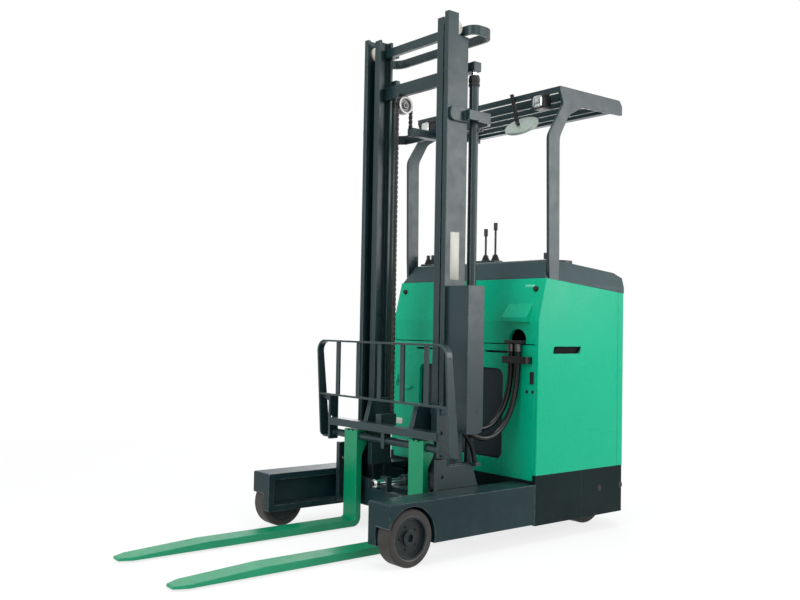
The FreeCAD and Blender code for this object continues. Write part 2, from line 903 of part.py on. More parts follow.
def drive_housing():
    """The cover round the drive unit: rear wall, bowed corner and the wall beside the operator."""
    inner = S.halfWidth - S.panelThick
    outer = slab(
        "housing_outer", "XY_Plane",
        [(-S.bulkhead, S.innerWall), (-S.bulkhead, inner), (-S.sideRear, inner), (-S.sideRear, S.halfWidth),
         (-S.rearReach, S.rearHalf), (-S.rearReach, S.innerWall)],
        S.baseTop, S.panelTopRear,
    )
    wall = S.housingWall
    hollow = slab(
        "housing_hollow", "XY_Plane",
        [(-S.bulkhead - wall, S.innerWall + wall), (-S.bulkhead - wall, inner - S.housingFit),
         (-S.sideRear - S.housingFit, inner - S.housingFit), (-S.rearReach + wall, S.rearHalf - wall),
         (-S.rearReach + wall, S.innerWall + wall)],
        S.baseTop - 1, S.panelTopRear + 1,
    )
    node(cut("housing", outer, hollow), "drive_housing")
    front = -S.bulkhead + 2
    back = front + S.panelThick
    wall = slab(
        "bulkhead_wall", "XZ_Plane",
        [(front, S.baseTop), (back, S.baseTop), (back, top_line(back)), (front, top_line(front))],
        -inner, inner,
    )
    node(wall, "bulkhead")


def operator_place():
    """The floor mat and the padded rest at the open rear of the truck."""
    mat = block(
        "deck_mat", (-S.rearReach + S.padRear, -S.bulkhead - S.matGap),
        (-S.halfWidth + S.deckEdge + S.matGap, S.innerWall - S.panelThick - S.matGap),
        (S.deckTop, S.deckTop + S.matThick),
    )
    node(mat, "floor_mat")
    rear, front = -S.sideRear + S.padRear, -S.bulkhead - S.padAhead
    top = S.sillTop - S.padBelow
    pad = slab(
        "rest_pad", "XZ_Plane",
        [(rear, top - S.padHigh), (front, top - S.padHigh), (front, top), (rear, top)],
        -S.halfWidth + S.panelThick, -S.halfWidth + S.panelThick + S.padThick,
        {corner: S.padRound for corner in range(4)},
    )
    node(pad, "side_pad")


# ---------------------------------------------------------------- hood, steering and levers
def steer_spot():
    """Plan position of the steering column."""
    return -S.driveBehind + S.steerAhead, S.driveOut - S.steerIn


def hood():
    """The dark moulded top: it slopes to the rear, its sides lean in, and it is open over the operator."""
    foot, middle, top = front_profile(0.0)
    profile = [
        (top, S.panelTop),
        (-S.hoodFront, S.hoodTop),
        (-S.hoodCrown, S.hoodTop - 4),
        (-S.sideRear + 40, S.hoodRearTop),
        (-S.rearReach + 36, S.hoodRearTop - 50),
        (-S.rearReach, S.panelTopRear + 24),
        (-S.rearReach, S.panelTopRear),
        (-S.sideRear, S.panelTopRear),
    ]
    top_cover = slab("hood_cover", "XZ_Plane", profile, -S.halfWidth, S.halfWidth,
                     {1: size(26.0), 3: size(60.0), 4: size(60.0), 5: size(40.0)})
    centre = steer_spot()
    extras = [drum("hood_boss", "z", (S.hoodRearTop - 8, S.steerBoss), centre, S.steerHub + 8)]
    side_console = -S.halfWidth + S.sideConsoleInset
    for number, (middle, half) in enumerate(((S.consoleMiddle, S.consoleHalf),
                                             (side_console, S.sideConsoleHalf))):
        extras.append(block("hood_console_%d" % number, (-S.hoodCrown, -S.hoodFront - 30),
                            (middle - half, middle + half),
                            (S.hoodTop - S.consoleDeep, S.consoleTop)))
    tools = []
    for number, side in enumerate((-1, 1)):
        tools.append(slab(
            "hood_side_%d" % number, "YZ_Plane",
            [(S.halfWidth * side, S.panelTopRear + 30), ((S.halfWidth + 60) * side, S.panelTopRear + 30),
             ((S.halfWidth + 60) * side, S.hoodTop + 40),
             ((S.halfWidth - S.hoodSide * 1.5) * side, S.hoodTop + 40)],
            -S.rearReach - 10, top + 10,
        ))
        tools.append(slab(
            "hood_corner_%d" % number, "XY_Plane",
            [(-S.sideRear - 4, (S.halfWidth + 1) * side), (-S.rearReach - 1, (S.rearHalf + 1) * side),
             (-S.rearReach - 1, (S.halfWidth + 1) * side)],
            S.baseTop, S.hoodTop + 40,
        ))
        tools.append(pillar_block("hood_notch_%d" % number, side))
    tools.append(block(
        "hood_well", (-S.rearReach - 1, -S.bulkhead), (-S.halfWidth - 1, S.innerWall),
        (S.baseTop, S.hoodTop + 40),
    ))
    node(cut("hood_cut", fuse("hood_whole", top_cover, *extras), *tools), "hood")


def steering():
    """The small steering wheel on its column beside the operator, turned by a knob."""
    centre = steer_spot()
    low = S.steerBoss + S.pinFit
    rim = [
        (S.steerRadius - 11, -9.0), (S.steerRadius, -9.0), (S.steerRadius, 9.0), (S.steerRadius - 11, 9.0),
    ]
    ring = turned("steer_rim", rim, centre[0], centre[1], low + 46, "z")
    hub = drum("steer_hub", "z", (low, low + 56), centre, S.steerHub)
    spokes = block(
        "steer_spoke", (centre[0] - S.steerRadius + 6, centre[0] + S.steerRadius - 6),
        (centre[1] - 9, centre[1] + 9),
        (low + 41, low + 51),
    )
    knob_spot = (centre[0] + S.steerRadius - 6, centre[1])
    knob = drum("steer_knob", "z", (low + 62, low + 96), knob_spot, size(14.0))
    post = drum("steer_post", "z", (low + 48, low + 63), knob_spot, size(5.0))
    node(fuse("steer_fused", ring, hub, spokes, knob, post), "steering_wheel")


def levers():
    """Hand levers that stand in a row on the hood before the operator: two tall ones and two short ones."""
    sticks = []
    side_pair = -S.halfWidth + S.sideConsoleInset
    row = (
        (S.leverApart, S.leverTall), (size(0.0), S.leverMiddle),
        (side_pair + S.leverPair / 2, S.leverShort), (side_pair - S.leverPair / 2, S.leverShort),
    )
    for number, (out, high) in enumerate(row):
        foot = S.consoleTop
        spot = (-S.hoodCrown + S.leverAhead, out)
        stick = drum("lever_stick_%d" % number, "z", (foot, foot + high), spot, S.leverStick)
        grip = drum("lever_grip_%d" % number, "z", (foot + high - 40, foot + high), spot, S.leverGrip)
        sticks.append(fuse("lever_%d" % number, stick, grip))
    node(group("lever_row", *sticks), "control_levers")


# ---------------------------------------------------------------- overhead guard
def overhead_guard():
    """Two bent side plates joined by cross bars: pillars at the front, hung out over the operator."""
    parts = []
    front = -S.pillarFront
    back = front - S.pillarDepth
    for number, side in enumerate((-1, 1)):
        low, high = mirrored(S.pillarOut - S.pillarThick, S.pillarOut, side)
        outline = [
            (front, S.pillarFoot),
            (front + 8, S.pillarTop),
            (front + 20, S.pillarBend),
            (-S.guardTip - 28, S.guardUnder - 4),
            (-S.guardTip, S.guardTop - 30),
            (-S.guardTip, S.guardTop - 6),
            (-S.guardRear + 25, S.guardTop),
            (-S.guardRear, S.guardTop - 28),
            (-S.guardRear, S.guardUnder + 12),
            (back - 173, S.guardUnder),
            (back - 63, S.guardUnder - 60),
            (back + 8, S.pillarBend),
            (back, S.pillarTop),
            (back, S.pillarFoot),
        ]
        parts.append(slab("guard_side_%d" % number, "XZ_Plane", outline, low, high,
                          {2: size(70.0), 3: size(20.0), 9: size(60.0), 10: size(80.0), 11: size(90.0)}))
    inner = S.pillarOut - S.pillarThick
    bar_back = -S.guardTip - S.frontBar
    parts.append(block("guard_front_bar", (bar_back, -S.guardTip), (-inner, inner),
                       (S.guardTop - 6 - S.frontBarHigh, S.guardTop - 6)))
    first = -S.guardTip - 110
    span = first + S.guardRear
    for number in range(5):
        x = first - span * (number / 4.0)
        width = size(40.0) if number == 4 else S.slatThick
        parts.append(block(
            "guard_bar_%d" % number, (x, x + width), (-inner, inner),
            (S.guardTop - 12 - S.slatHigh, S.guardTop - 12),
        ))
    node(fuse("guard_fused", *parts), "overhead_guard")
    lamps = []
    top = S.guardTop - 6 - S.frontBarHigh
    for number, side in enumerate((-1, 1)):
        y = S.lampOut * side
        half = S.lampWide / 2
        lamps.append(slab(
            "lamp_case_%d" % number, "YZ_Plane",
            [(y - half, top - S.lampHigh), (y + half, top - S.lampHigh), (y + half, top), (y - half, top)],
            bar_back - 2, bar_back - 2 + S.lampDeep, {corner: S.lampRound for corner in range(4)},
        ))
    node(group("lamp_pair", *lamps), "work_lamps")


def mirror():
    """A round driving mirror tilted on a flat arm that is screwed to the guard's front bar."""
    facing = Vector(0.604, 0.15, 0.782)
    turn = FreeCAD.Rotation(Vector(0, 0, 1), facing)

    def tilted(name, radius, depth, ahead, out):
        """A round bar along the mirror's facing, from a depth behind its face, set out to one side."""
        bar = DOC.addObject("Part::Cylinder", name)
        bar.Placement = FreeCAD.Placement(Vector(), turn)
        bind(bar, "Radius", radius)
        bind(bar, "Height", depth)
        across = Vector(-0.091, 0.978, -0.117)
        return place(bar, ahead * facing.x - S.mirrorBehind + out * across.x,
                     ahead * facing.y + S.mirrorOut + out * across.y,
                     ahead * facing.z + S.mirrorHeight + out * across.z)

    disc = tilted("mirror_disc", S.mirrorRadius, S.mirrorThick, -S.mirrorThick, size(0.0))
    node(disc, "mirror")
    stub = tilted("mirror_stub", size(9.0), size(18.0), size(0.0), size(-20.0))
    front = -S.guardTip
    low = S.mirrorHeight + 7
    foot = S.mirrorOut - 28
    lean = S.mirrorArmWide * 2.2
    arm = slab(
        "mirror_arm_bar", "YZ_Plane",
        [(foot, low), (foot + S.mirrorArmWide, low), (foot + S.mirrorArmWide - lean, S.mirrorArmTop),
         (foot - lean, S.mirrorArmTop)],
        front, front + S.mirrorArmThick,
    )
    node(fuse("mirror_arm_fused", arm, stub), "mirror_arm")


# ---------------------------------------------------------------- hoses
def hose(name, points, out, radius, seats):
    """A round hose in one upright plane: straight runs and wide arcs, trimmed where it meets its seats."""
    spots = [Vector(x, out.value, z) for x, z in points]
    section = Part.Circle(spots[0], spots[1] - spots[0], radius.value)
    edges = []
    start = spots[0]
    length = 0.0
    for before, corner, after in zip(spots, spots[1:], spots[2:]):
        into = (corner - before).normalize()
        onward = (after - corner).normalize()
        reach = 0.45 * min((corner - before).Length, (after - corner).Length)
        turn = into.getAngle(onward)
        arc_radius = reach / math.tan(turn / 2)
        print("%-18s turn %5.1f  radius %5.0f" % (name, math.degrees(turn), arc_radius))
        first = corner - into * reach
        last = corner + onward * reach
        middle = corner + (onward - into).normalize() * (arc_radius / math.cos(turn / 2) - arc_radius)
        edges.append(Part.LineSegment(start, first).toShape())
        edges.append(Part.Arc(first, middle, last).toShape())
        length += (first - start).Length + arc_radius * turn
        start = last
    edges.append(Part.LineSegment(start, spots[-1]).toShape())
    length += (spots[-1] - start).Length
    tube = Part.Wire(edges).makePipeShell([Part.Wire([section.toShape()])], True, True)
    expected = math.pi * radius.value ** 2 * length
    if abs(tube.Volume / expected - 1) > 0.01:
        raise RuntimeError("hose %s has volume %.0f, not %.0f" % (name, tube.Volume, expected))
    for low, high in seats:
        tube = tube.cut(Part.makeBox(high[0] - low[0], 4 * radius.value, high[1] - low[1],
                                     Vector(low[0], out.value - 2 * radius.value, low[1])))
    piece = DOC.addObject("Part::Feature", name)
    piece.Shape = tube
    return place(piece)


def hoses():
    """Two hoses from the panel's gland through a clamp to the mast's cover, and one on to the carriage."""
    foot, middle, top = front_profile(0.0)
    gland = block("hose_gland", (middle - S.panelThick + 1, middle + S.clampOut - 11),
                  (S.archLow, S.archHigh),
                  (S.glandFoot, S.glandTop))
    lean = (foot - middle) / (S.panelJoint - S.panelFoot)
    clamp = block("hose_clamp", (middle + lean * (S.panelJoint - S.clampFoot) + S.pinFit,
                                 middle + S.clampOut),
                  (S.clampNear, S.clampFar), (S.clampFoot, S.clampTop))
    bores = []
    for number, out in enumerate((S.hoseInner, S.hoseOuter)):
        bores.append(drum("hose_bore_%d" % number, "z", (S.clampFoot - 1, S.clampTop + 1),
                          (-S.hoseBehind, out),
                          S.hoseRadius + S.hoseFit))
    node(group("hose_holders", gland, cut("hose_clamp_cut", clamp, *bores)), "hose_clamps")
    cover_back = -S.mastFront - 16 - S.coverDeep
    behind = -S.hoseBehind.value
    gland_foot = S.glandFoot.value
    inner = [(behind, gland_foot), (behind, 850), (-786, 738), (-745, 648), (-684, 585), (-612, 556),
             (-536, 560),
             (-466, 590)]
    outer = [(behind, gland_foot), (behind, 838), (-782, 712), (-733, 612), (-665, 546), (-590, 519),
             (-512, 527),
             (-440, 562)]
    lead = [(-441, 560), (-478, 524), (-507, 483), (-525, 440), (-532, 394)]
    fit = S.hoseFit.value
    cover_seat = ((cover_back.value - fit, S.coverFoot.value - fit), (-S.mastFront.value, S.coverTop.value))
    port_seat = ((-S.leadBehind.value - 30, S.portTop.value - 30),
                 (-S.leadBehind.value + 30, S.portTop.value + fit))
    for name, label, points, out, radius in (
        ("hose_in", "mast_hose_inner", inner, S.hoseInner, S.hoseRadius),
        ("hose_out", "mast_hose_outer", outer, S.hoseOuter, S.hoseRadius),
        ("hose_lead", "reach_hose", lead, S.leadOut, S.leadRadius),
    ):
        node(hose(name, points, out, radius, (cover_seat, port_seat)), label)


# ---------------------------------------------------------------- reach carriage and outer mast
def mirrored(near, far, side):
    """A span of Y on the left, or its mirror on the right."""
    return (near, far) if side > 0 else (-far, -near)


def reach_frame():
    """The carriage that runs in the legs' tracks: side plates, cross members and rollers."""
    parts = []
    rollers = []
    track_middle = (S.legBottom + S.legTop) / 2
    mast_back = -S.mastFront - S.mastDepth
    for number, side in enumerate((-1, 1)):
        low, high = mirrored(S.frameOut - S.frameThick, S.frameOut, side)
        outline = [
            (-S.frameNose, S.legBottom + 20),
            (-S.frameNose, S.frameTop),
            (-S.frameStep, S.frameTop),
            (-S.frameStep, S.frameLow),
            (mast_back, S.frameLow),
            (mast_back - 46, S.legTop - 10),
            (-S.frameTail, S.legTop - 40),
            (-S.frameTail, S.legBottom + 20),
        ]
        plate = slab("frame_side_%d" % number, "XZ_Plane", outline, low, high)
        hole = drum("frame_hole_%d" % number, "y", (low - 1, high + 1),
                    (-(S.frameNose + S.frameStep) / 2, (S.legTop + S.frameTop) / 2 - 12), S.frameBolt)
        parts.append(cut("frame_side_cut_%d" % number, plate, hole))
        for spot, x in enumerate((-S.frameNose - S.rollerAhead, -S.frameTail + S.rollerRadius)):
            span = mirrored(S.frameOut + 2, S.frameOut + 2 + S.rollerWide, side)
            rollers.append(drum("reach_roller_%d_%d" % (number, spot), "y", span, (x, track_middle),
                                S.rollerRadius))
            pin_span = mirrored(S.frameOut - 1, S.frameOut + 2, side)
            parts.append(drum("frame_pin_%d_%d" % (number, spot), "y", pin_span, (x, track_middle),
                              size(20.0)))
    half = S.frameOut - S.frameThick + 1
    dip = S.crossDipHalf
    parts.append(slab(
        "frame_front_beam", "YZ_Plane",
        [(-half, S.legBottom + 20), (half, S.legBottom + 20), (half, S.crossHigh), (dip + 12, S.crossHigh),
         (dip, S.crossDip), (-dip, S.crossDip), (-dip - 12, S.crossHigh), (-half, S.crossHigh)],
        -S.crossFront - S.crossDeep, -S.crossFront,
    ))
    parts.append(block("frame_rear_beam", (-S.frameTail, -S.frameTail + 40), (-half, half),
                       (S.legBottom + 20, S.reachHeight - S.reachBarrel - 12)))
    mast_front = -S.mastFront
    for number, side in enumerate((-1, 1)):
        foot = mirrored(S.mastOut, S.frameOut - S.frameThick + 1, side)
        parts.append(block("frame_foot_%d" % number, (mast_back, mast_front), foot,
                           (S.mastFoot + 20, S.frameTop - 30)))
    seat = -S.liftBehind - S.liftBarrel - 6
    parts.append(block("frame_mast_beam", (seat, mast_back), (-half, half),
                       (S.mastFoot + 8, S.mastFoot + 90)))
    lug = block("frame_rod_lug", (-S.crossFront - S.crossDeep, -S.crossFront),
                (S.reachOut - 26, S.reachOut + 26),
                (S.crossDip - 1, S.reachHeight + S.reachRod + 14))
    eye = drum("frame_rod_eye", "x", (-S.crossFront - S.crossDeep - 1, -S.crossFront + 1),
               (S.reachOut, S.reachHeight),
               S.reachRod + S.pinFit)
    parts.append(lug)
    parts.append(block("frame_hose_port", (-S.leadBehind - 17, -S.leadBehind + 17),
                       (S.frameOut - 15, S.leadOut + 25),
                       (S.frameLow - 8, S.portTop)))
    node(cut("frame_bored", fuse("frame_fused", *parts), eye), "reach_carriage")
    node(group("roller_set", *rollers), "reach_rollers")


def reach_cylinder():
    """The cylinder that pushes the mast ahead: its barrel in the base, its rod on the reach carriage."""
    spot = (S.reachOut, S.reachHeight)
    barrel = drum("reach_tube", "x", (-S.reachDeep, -S.reachEnd), spot, S.reachBarrel)
    bore = drum("reach_bore", "x", (-S.reachDeep + 20, -S.reachEnd + 1), spot, S.reachRod + S.pinFit)
    node(cut("reach_barrel_cut", barrel, bore), "reach_cylinder_barrel")
    rod = drum("reach_rod_bar", "x", (-S.reachDeep + 30, -S.rodNose), spot, S.reachRod)
    nose = drum("reach_rod_nut", "x", (-S.crossFront, -S.rodNose - 8), spot, S.reachRod + 6)
    node(fuse("reach_rod_fused", rod, nose), "reach_cylinder_rod")


def outer_mast():
    """The outer mast: two channels open to the middle, notched for the head ring, and the upper tie."""
    rails = []
    front = -S.mastFront
    back = front - S.mastDepth
    for number, side in enumerate((-1, 1)):
        out = S.mastOut * side
        web = (S.mastOut - S.mastWeb) * side
        lip = (S.mastOut - S.mastLip) * side
        front_lip = (S.mastOut - S.mastFrontLip) * side
        channel = [
            (front, out), (back, out), (back, lip), (back + S.mastFlange, lip),
            (back + S.mastFlange, web), (front - S.mastFlange, web), (front - S.mastFlange, front_lip),
            (front, front_lip),
        ]
        rail = slab("mast_rail_%d" % number, "XY_Plane", channel, S.mastFoot, S.mastTop)
        notch = block("mast_notch_%d" % number, (back - 1, -S.innerFront - S.innerDepth / 2),
                      mirrored(S.mastOut - S.mastLip - 1, S.mastOut + 1, side),
                      (S.headTop - S.headHigh - S.mastNotch, S.mastTop + 1))
        rails.append(cut("mast_rail_cut_%d" % number, rail, notch))
    node(group("mast_rails", *rails), "outer_mast")
    guides = []
    for number, side in enumerate((-1, 1)):
        span = mirrored(S.innerOut + S.guideGap, S.mastOut - S.mastWeb, side)
        guides.append(drum("guide_roller_%d" % number, "y", span, ((front + back) / 2, S.guideHeight),
                           S.guideRadius))
    node(group("guide_pair", *guides), "guide_rollers")
    parts = []
    bent = S.tieBend
    ring = [
        (back + 30, S.mastOut), (back + 30, S.tieOut), (-S.tieRear + bent, S.tieOut),
        (-S.tieRear, S.tieOut - bent),
        (-S.tieRear, -S.tieOut + bent), (-S.tieRear + bent, -S.tieOut), (back + 30, -S.tieOut),
        (back + 30, -S.mastOut),
        (back + 16, -S.mastOut), (back + 16, -S.tieOut + S.tieThick),
        (-S.tieRear + bent + 6, -S.tieOut + S.tieThick),
        (-S.tieRear + S.tieThick, -S.tieOut + bent + 6), (-S.tieRear + S.tieThick, S.tieOut - bent - 6),
        (-S.tieRear + bent + 6, S.tieOut - S.tieThick), (back + 16, S.tieOut - S.tieThick),
        (back + 16, S.mastOut),
    ]
    parts.append(slab("tie_ring", "XY_Plane", ring, S.tieTop - S.tieHigh, S.tieTop))
    for number, side in enumerate((-1, 1)):
        span = mirrored(S.mastOut, S.mastOut + S.tieThick, side)
        parts.append(slab(
            "tie_bracket_%d" % number, "XZ_Plane",
            [(front - 10, S.tieTop - S.tieHigh - 10), (front - 10, S.tieTop + 12), (back + 10, S.tieTop + 12),
             (back + 10, S.tieTop - S.tieHigh - 10)],
            span[0], span[1], {0: size(28.0), 1: size(28.0)},
        ))
    rear_chain = -S.chainBehind - S.chainRadius - S.chainThick
    parts.append(block("tie_anchor", (-S.tieRear + 1, rear_chain + 6),
                       (S.chainOut - S.chainWide / 2 - 8, S.chainOut + S.chainWide / 2 + 8),
                       (S.anchorTop - 40, S.anchorTop)))
    node(fuse("tie_fused", *parts), "mast_tie")
    cover = slab(
        "mast_cover_body", "XZ_Plane",
        [(front - 16, S.coverFoot), (front - 16 - S.coverDeep, S.coverFoot),
         (front - 16 - S.coverDeep, S.coverTop),
         (front - 16, S.coverTop)],
        S.mastOut, S.mastOut + S.coverWide, {1: size(34.0)},
    )
    node(cover, "mast_side_cover")
    barrels = []
    for number, side in enumerate((-1, 1)):
        y = S.liftOut * side
        spot = (-S.liftBehind, y)
        barrel = drum("lift_barrel_%d" % number, "z", (S.liftBarrelFoot, S.liftBarrelTop), spot, S.liftBarrel)
        bore = drum("lift_bore_%d" % number, "z", (S.liftBarrelFoot + 60, S.liftBarrelTop + 1), spot,
                    S.liftRod + S.pinFit)
        foot = block("lift_foot_%d" % number, (-S.liftBehind - 20, -S.liftBehind + 20), (y - 20, y + 20),
                     (S.mastFoot + 90, S.liftBarrelFoot + 1))
        barrels.append(fuse("lift_%d" % number, cut("lift_tube_%d" % number, barrel, bore), foot))
    node(group("barrel_pair", *barrels), "lift_barrels")


def inner_mast():
    """The inner mast: two slimmer channels inside the outer ones, cross beams and a bowed head ring."""
    rails = []
    front = -S.innerFront
    back = front - S.innerDepth
    rod_top = S.liftBarrelTop + S.rodStub
    root = S.innerOut - S.innerWeb
    low_parts = []
    for number, side in enumerate((-1, 1)):
        out = S.innerOut * side
        web = root * side
        lip = S.innerLip * side
        channel = [
            (front, out), (back, out), (back, lip), (back + S.innerWeb, lip),
            (back + S.innerWeb, web), (front - S.innerWeb, web), (front - S.innerWeb, lip), (front, lip),
        ]
        rails.append(slab("inner_rail_%d" % number, "XY_Plane", channel, S.innerFoot, S.innerTop))
        neck = mirrored(S.innerLip + 2, S.mastOut - S.mastLip - S.slideGap, side)
        low_parts.append(block("inner_neck_%d" % number, (-S.liftBehind - 24, back), neck,
                               (rod_top, rod_top + S.rodHeadHigh)))
        arm = mirrored(S.innerLip + 2, S.liftOut + 24, side)
        low_parts.append(block("inner_arm_%d" % number, (-S.liftBehind - 24, -S.liftBehind + 24), arm,
                               (rod_top, rod_top + S.rodHeadHigh)))
        low_parts.append(block("inner_link_%d" % number, (back - S.beamThick, back),
                               mirrored(S.innerLip - 30, S.innerLip + 3, side),
                               (rod_top - 20, rod_top + S.rodHeadHigh)))
    node(group("inner_rails", *rails), "inner_mast")
    beam_span = (back + S.innerWeb, back + S.innerWeb + S.beamThick)
    low_parts.append(block("inner_beam", beam_span, (-root, root), (S.beamTop - S.beamHigh, S.beamTop)))
    low_parts.append(block("inner_beam_back", (back - S.beamThick, back + S.innerWeb + 1),
                           (-S.innerLip + 4, S.innerLip - 4), (rod_top - 20, S.beamTop)))
    low_parts.append(block("inner_sheave_lug", (-S.chainBehind - 22, -S.chainBehind + 22),
                           (S.chainOut - S.sheaveHalf - 9, S.chainOut - S.sheaveHalf - 1),
                           (S.chainHeight - 18, S.beamTop - S.beamHigh + 10)))
    low_parts.append(drum("inner_sheave_pin", "y",
                          (S.chainOut - S.sheaveHalf - 2, S.chainOut + S.sheaveHalf + 2),
                          (-S.chainBehind, S.chainHeight), S.sheavePin))
    low_beam = fuse("inner_low_fused", *low_parts)
    edge = S.headOut
    thick = S.headThick
    grip = (back + S.innerWeb, back + S.innerWeb + S.beamThick)
    top_beam = block("inner_top_beam", grip, (-root, root), (S.headTop - S.headHigh, S.headTop))
    head = [
        (back, S.innerOut - 40), (back, edge), (-S.headRear, edge), (-S.headRear, -edge), (back, -edge),
        (back, -S.innerOut + 40), (back - thick, -S.innerOut + 40), (back - thick, -edge + thick),
        (-S.headRear + thick, -edge + thick), (-S.headRear + thick, edge - thick),
        (back - thick, edge - thick),
        (back - thick, S.innerOut - 40),
    ]
    bend = S.headBend
    ring = slab("inner_head", "XY_Plane", head, S.headTop - S.headHigh, S.headTop,
                {1: bend, 4: bend, 2: bend * 1.6, 3: bend * 1.6, 7: bend - thick, 10: bend - thick,
                 8: bend * 1.6 - thick, 9: bend * 1.6 - thick})
    bridge = []
    for number, side in enumerate((-1, 1)):
        bridge.append(block("inner_bridge_%d" % number, (back - thick, grip[1]),
                            mirrored(S.innerLip - 34, S.innerLip, side), (S.headTop - S.headHigh, S.headTop)))
        bridge.append(block("inner_bridge_end_%d" % number, (back - thick, back),
                            mirrored(S.innerLip - 1, S.innerOut - 39, side),
                            (S.headTop - S.headHigh, S.headTop)))
    head_frame = fuse("inner_head_fused", top_beam, ring, *bridge)
    node(group("inner_ties", low_beam, head_frame), "inner_mast_ties")
    rods = []
    for number, side in enumerate((-1, 1)):
        rods.append(drum("lift_rod_%d" % number, "z", (S.liftBarrelFoot + 70, rod_top),
                         (-S.liftBehind, S.liftOut * side), S.liftRod))
    node(group("rod_pair", *rods), "lift_rods")


def chain():
    """The lift chain: up from the outer mast's anchor, over a sheave on the inner mast, down to the forks."""
    y = (S.chainOut - S.chainWide / 2, S.chainOut + S.chainWide / 2)
    half = S.sheaveHalf
    bore = S.sheavePin + S.pinFit
    sheave = turned(
        "sheave_body",
        [(bore, -half), (S.chainRadius + 4, -half), (S.chainRadius + 4, -half + 4),
         (S.chainRadius, -half + 4),
         (S.chainRadius, half - 4), (S.chainRadius + 4, half - 4), (S.chainRadius + 4, half),
         (S.chainRadius - 10, half), (S.chainRadius - 12, half - 8), (bore + 9, half - 8), (bore + 8, half),
         (bore, half)],
        -S.chainBehind, S.chainOut, S.chainHeight,
    )
    node(sheave, "chain_sheave")
    rear = -S.chainBehind - S.chainRadius
    ahead = -S.chainBehind + S.chainRadius
    node(block("chain_rear_run", (rear - S.chainThick, rear), y, (S.anchorTop, S.chainHeight)), "chain_rear")
    node(block("chain_front_run", (ahead, ahead + S.chainThick), y, (S.chainFoot, S.chainHeight)),
         "chain_front")


# ---------------------------------------------------------------- fork carriage, backrest and forks
def fork_carriage():
    """The fork carriage: end plates, a top beam, roller arms into the mast, and the fork shaft."""
    parts = []
    front = -S.carriageFront
    back = -S.carriageBack
    arm_back = -S.innerFront - S.innerDepth + 20
    for number, side in enumerate((-1, 1)):
        low, high = mirrored(S.carriageOut - 14, S.carriageOut, side)
        plate = block("carriage_end_%d" % number, (back, front), (low, high), (S.carriageFoot, S.carriageTop))
        hole = drum("carriage_hole_%d" % number, "y", (low - 1, high + 1), (front - 16, S.beamCarriageTop),
                    size(9.0))
        parts.append(cut("carriage_end_cut_%d" % number, plate, hole))
        low, high = mirrored(S.innerLip - 60, S.innerLip - 30, side)
        parts.append(slab(
            "carriage_arm_%d" % number, "XZ_Plane",
            [(back - 30, S.armFoot), (arm_back, S.armFoot), (arm_back, S.carriageTop),
             (back - 30, S.carriageTop),
             (back + 4, S.beamCarriageTop), (back + 4, S.beamCarriageTop - S.beamCarriageHigh),
             (back - 30, S.beamCarriageTop - S.beamCarriageHigh)],
            low, high,
        ))
        roller = S.innerDepth / 2 - S.innerWeb - S.slideGap
        for spot, z in enumerate((S.armFoot + 40, S.carriageTop - 40)):
            span = mirrored(S.innerLip - 31, S.innerOut - S.innerWeb - S.slideGap, side)
            parts.append(drum("carriage_roller_%d_%d" % (number, spot), "y", span,
                              (-S.innerFront - S.innerDepth / 2, z), roller))
    out = S.carriageOut - 13
    parts.append(block("carriage_beam", (back, front + 6), (-out, out),
                       (S.beamCarriageTop - S.beamCarriageHigh, S.beamCarriageTop)))
    parts.append(drum("fork_shaft_bar", "y", (-S.carriageOut + 1, S.carriageOut - 1),
                      (-S.shaftBehind, S.shaftHeight),
                      S.shaftRadius))
    parts.append(block("shaft_lug", (-S.shaftBehind - 18, -S.shaftBehind + 26), (size(-12.0), size(12.0)),
                       (S.shaftHeight - 40, S.beamCarriageTop - 1)))
    ahead = -S.chainBehind + S.chainRadius
    parts.append(block("carriage_anchor", (ahead - 6, back + 4),
                       (S.chainOut - S.chainWide / 2 - 8, S.chainOut + S.chainWide / 2 + 8),
                       (S.beamCarriageTop - S.beamCarriageHigh, S.chainFoot)))
    node(fuse("carriage_fused", *parts), "fork_carriage")


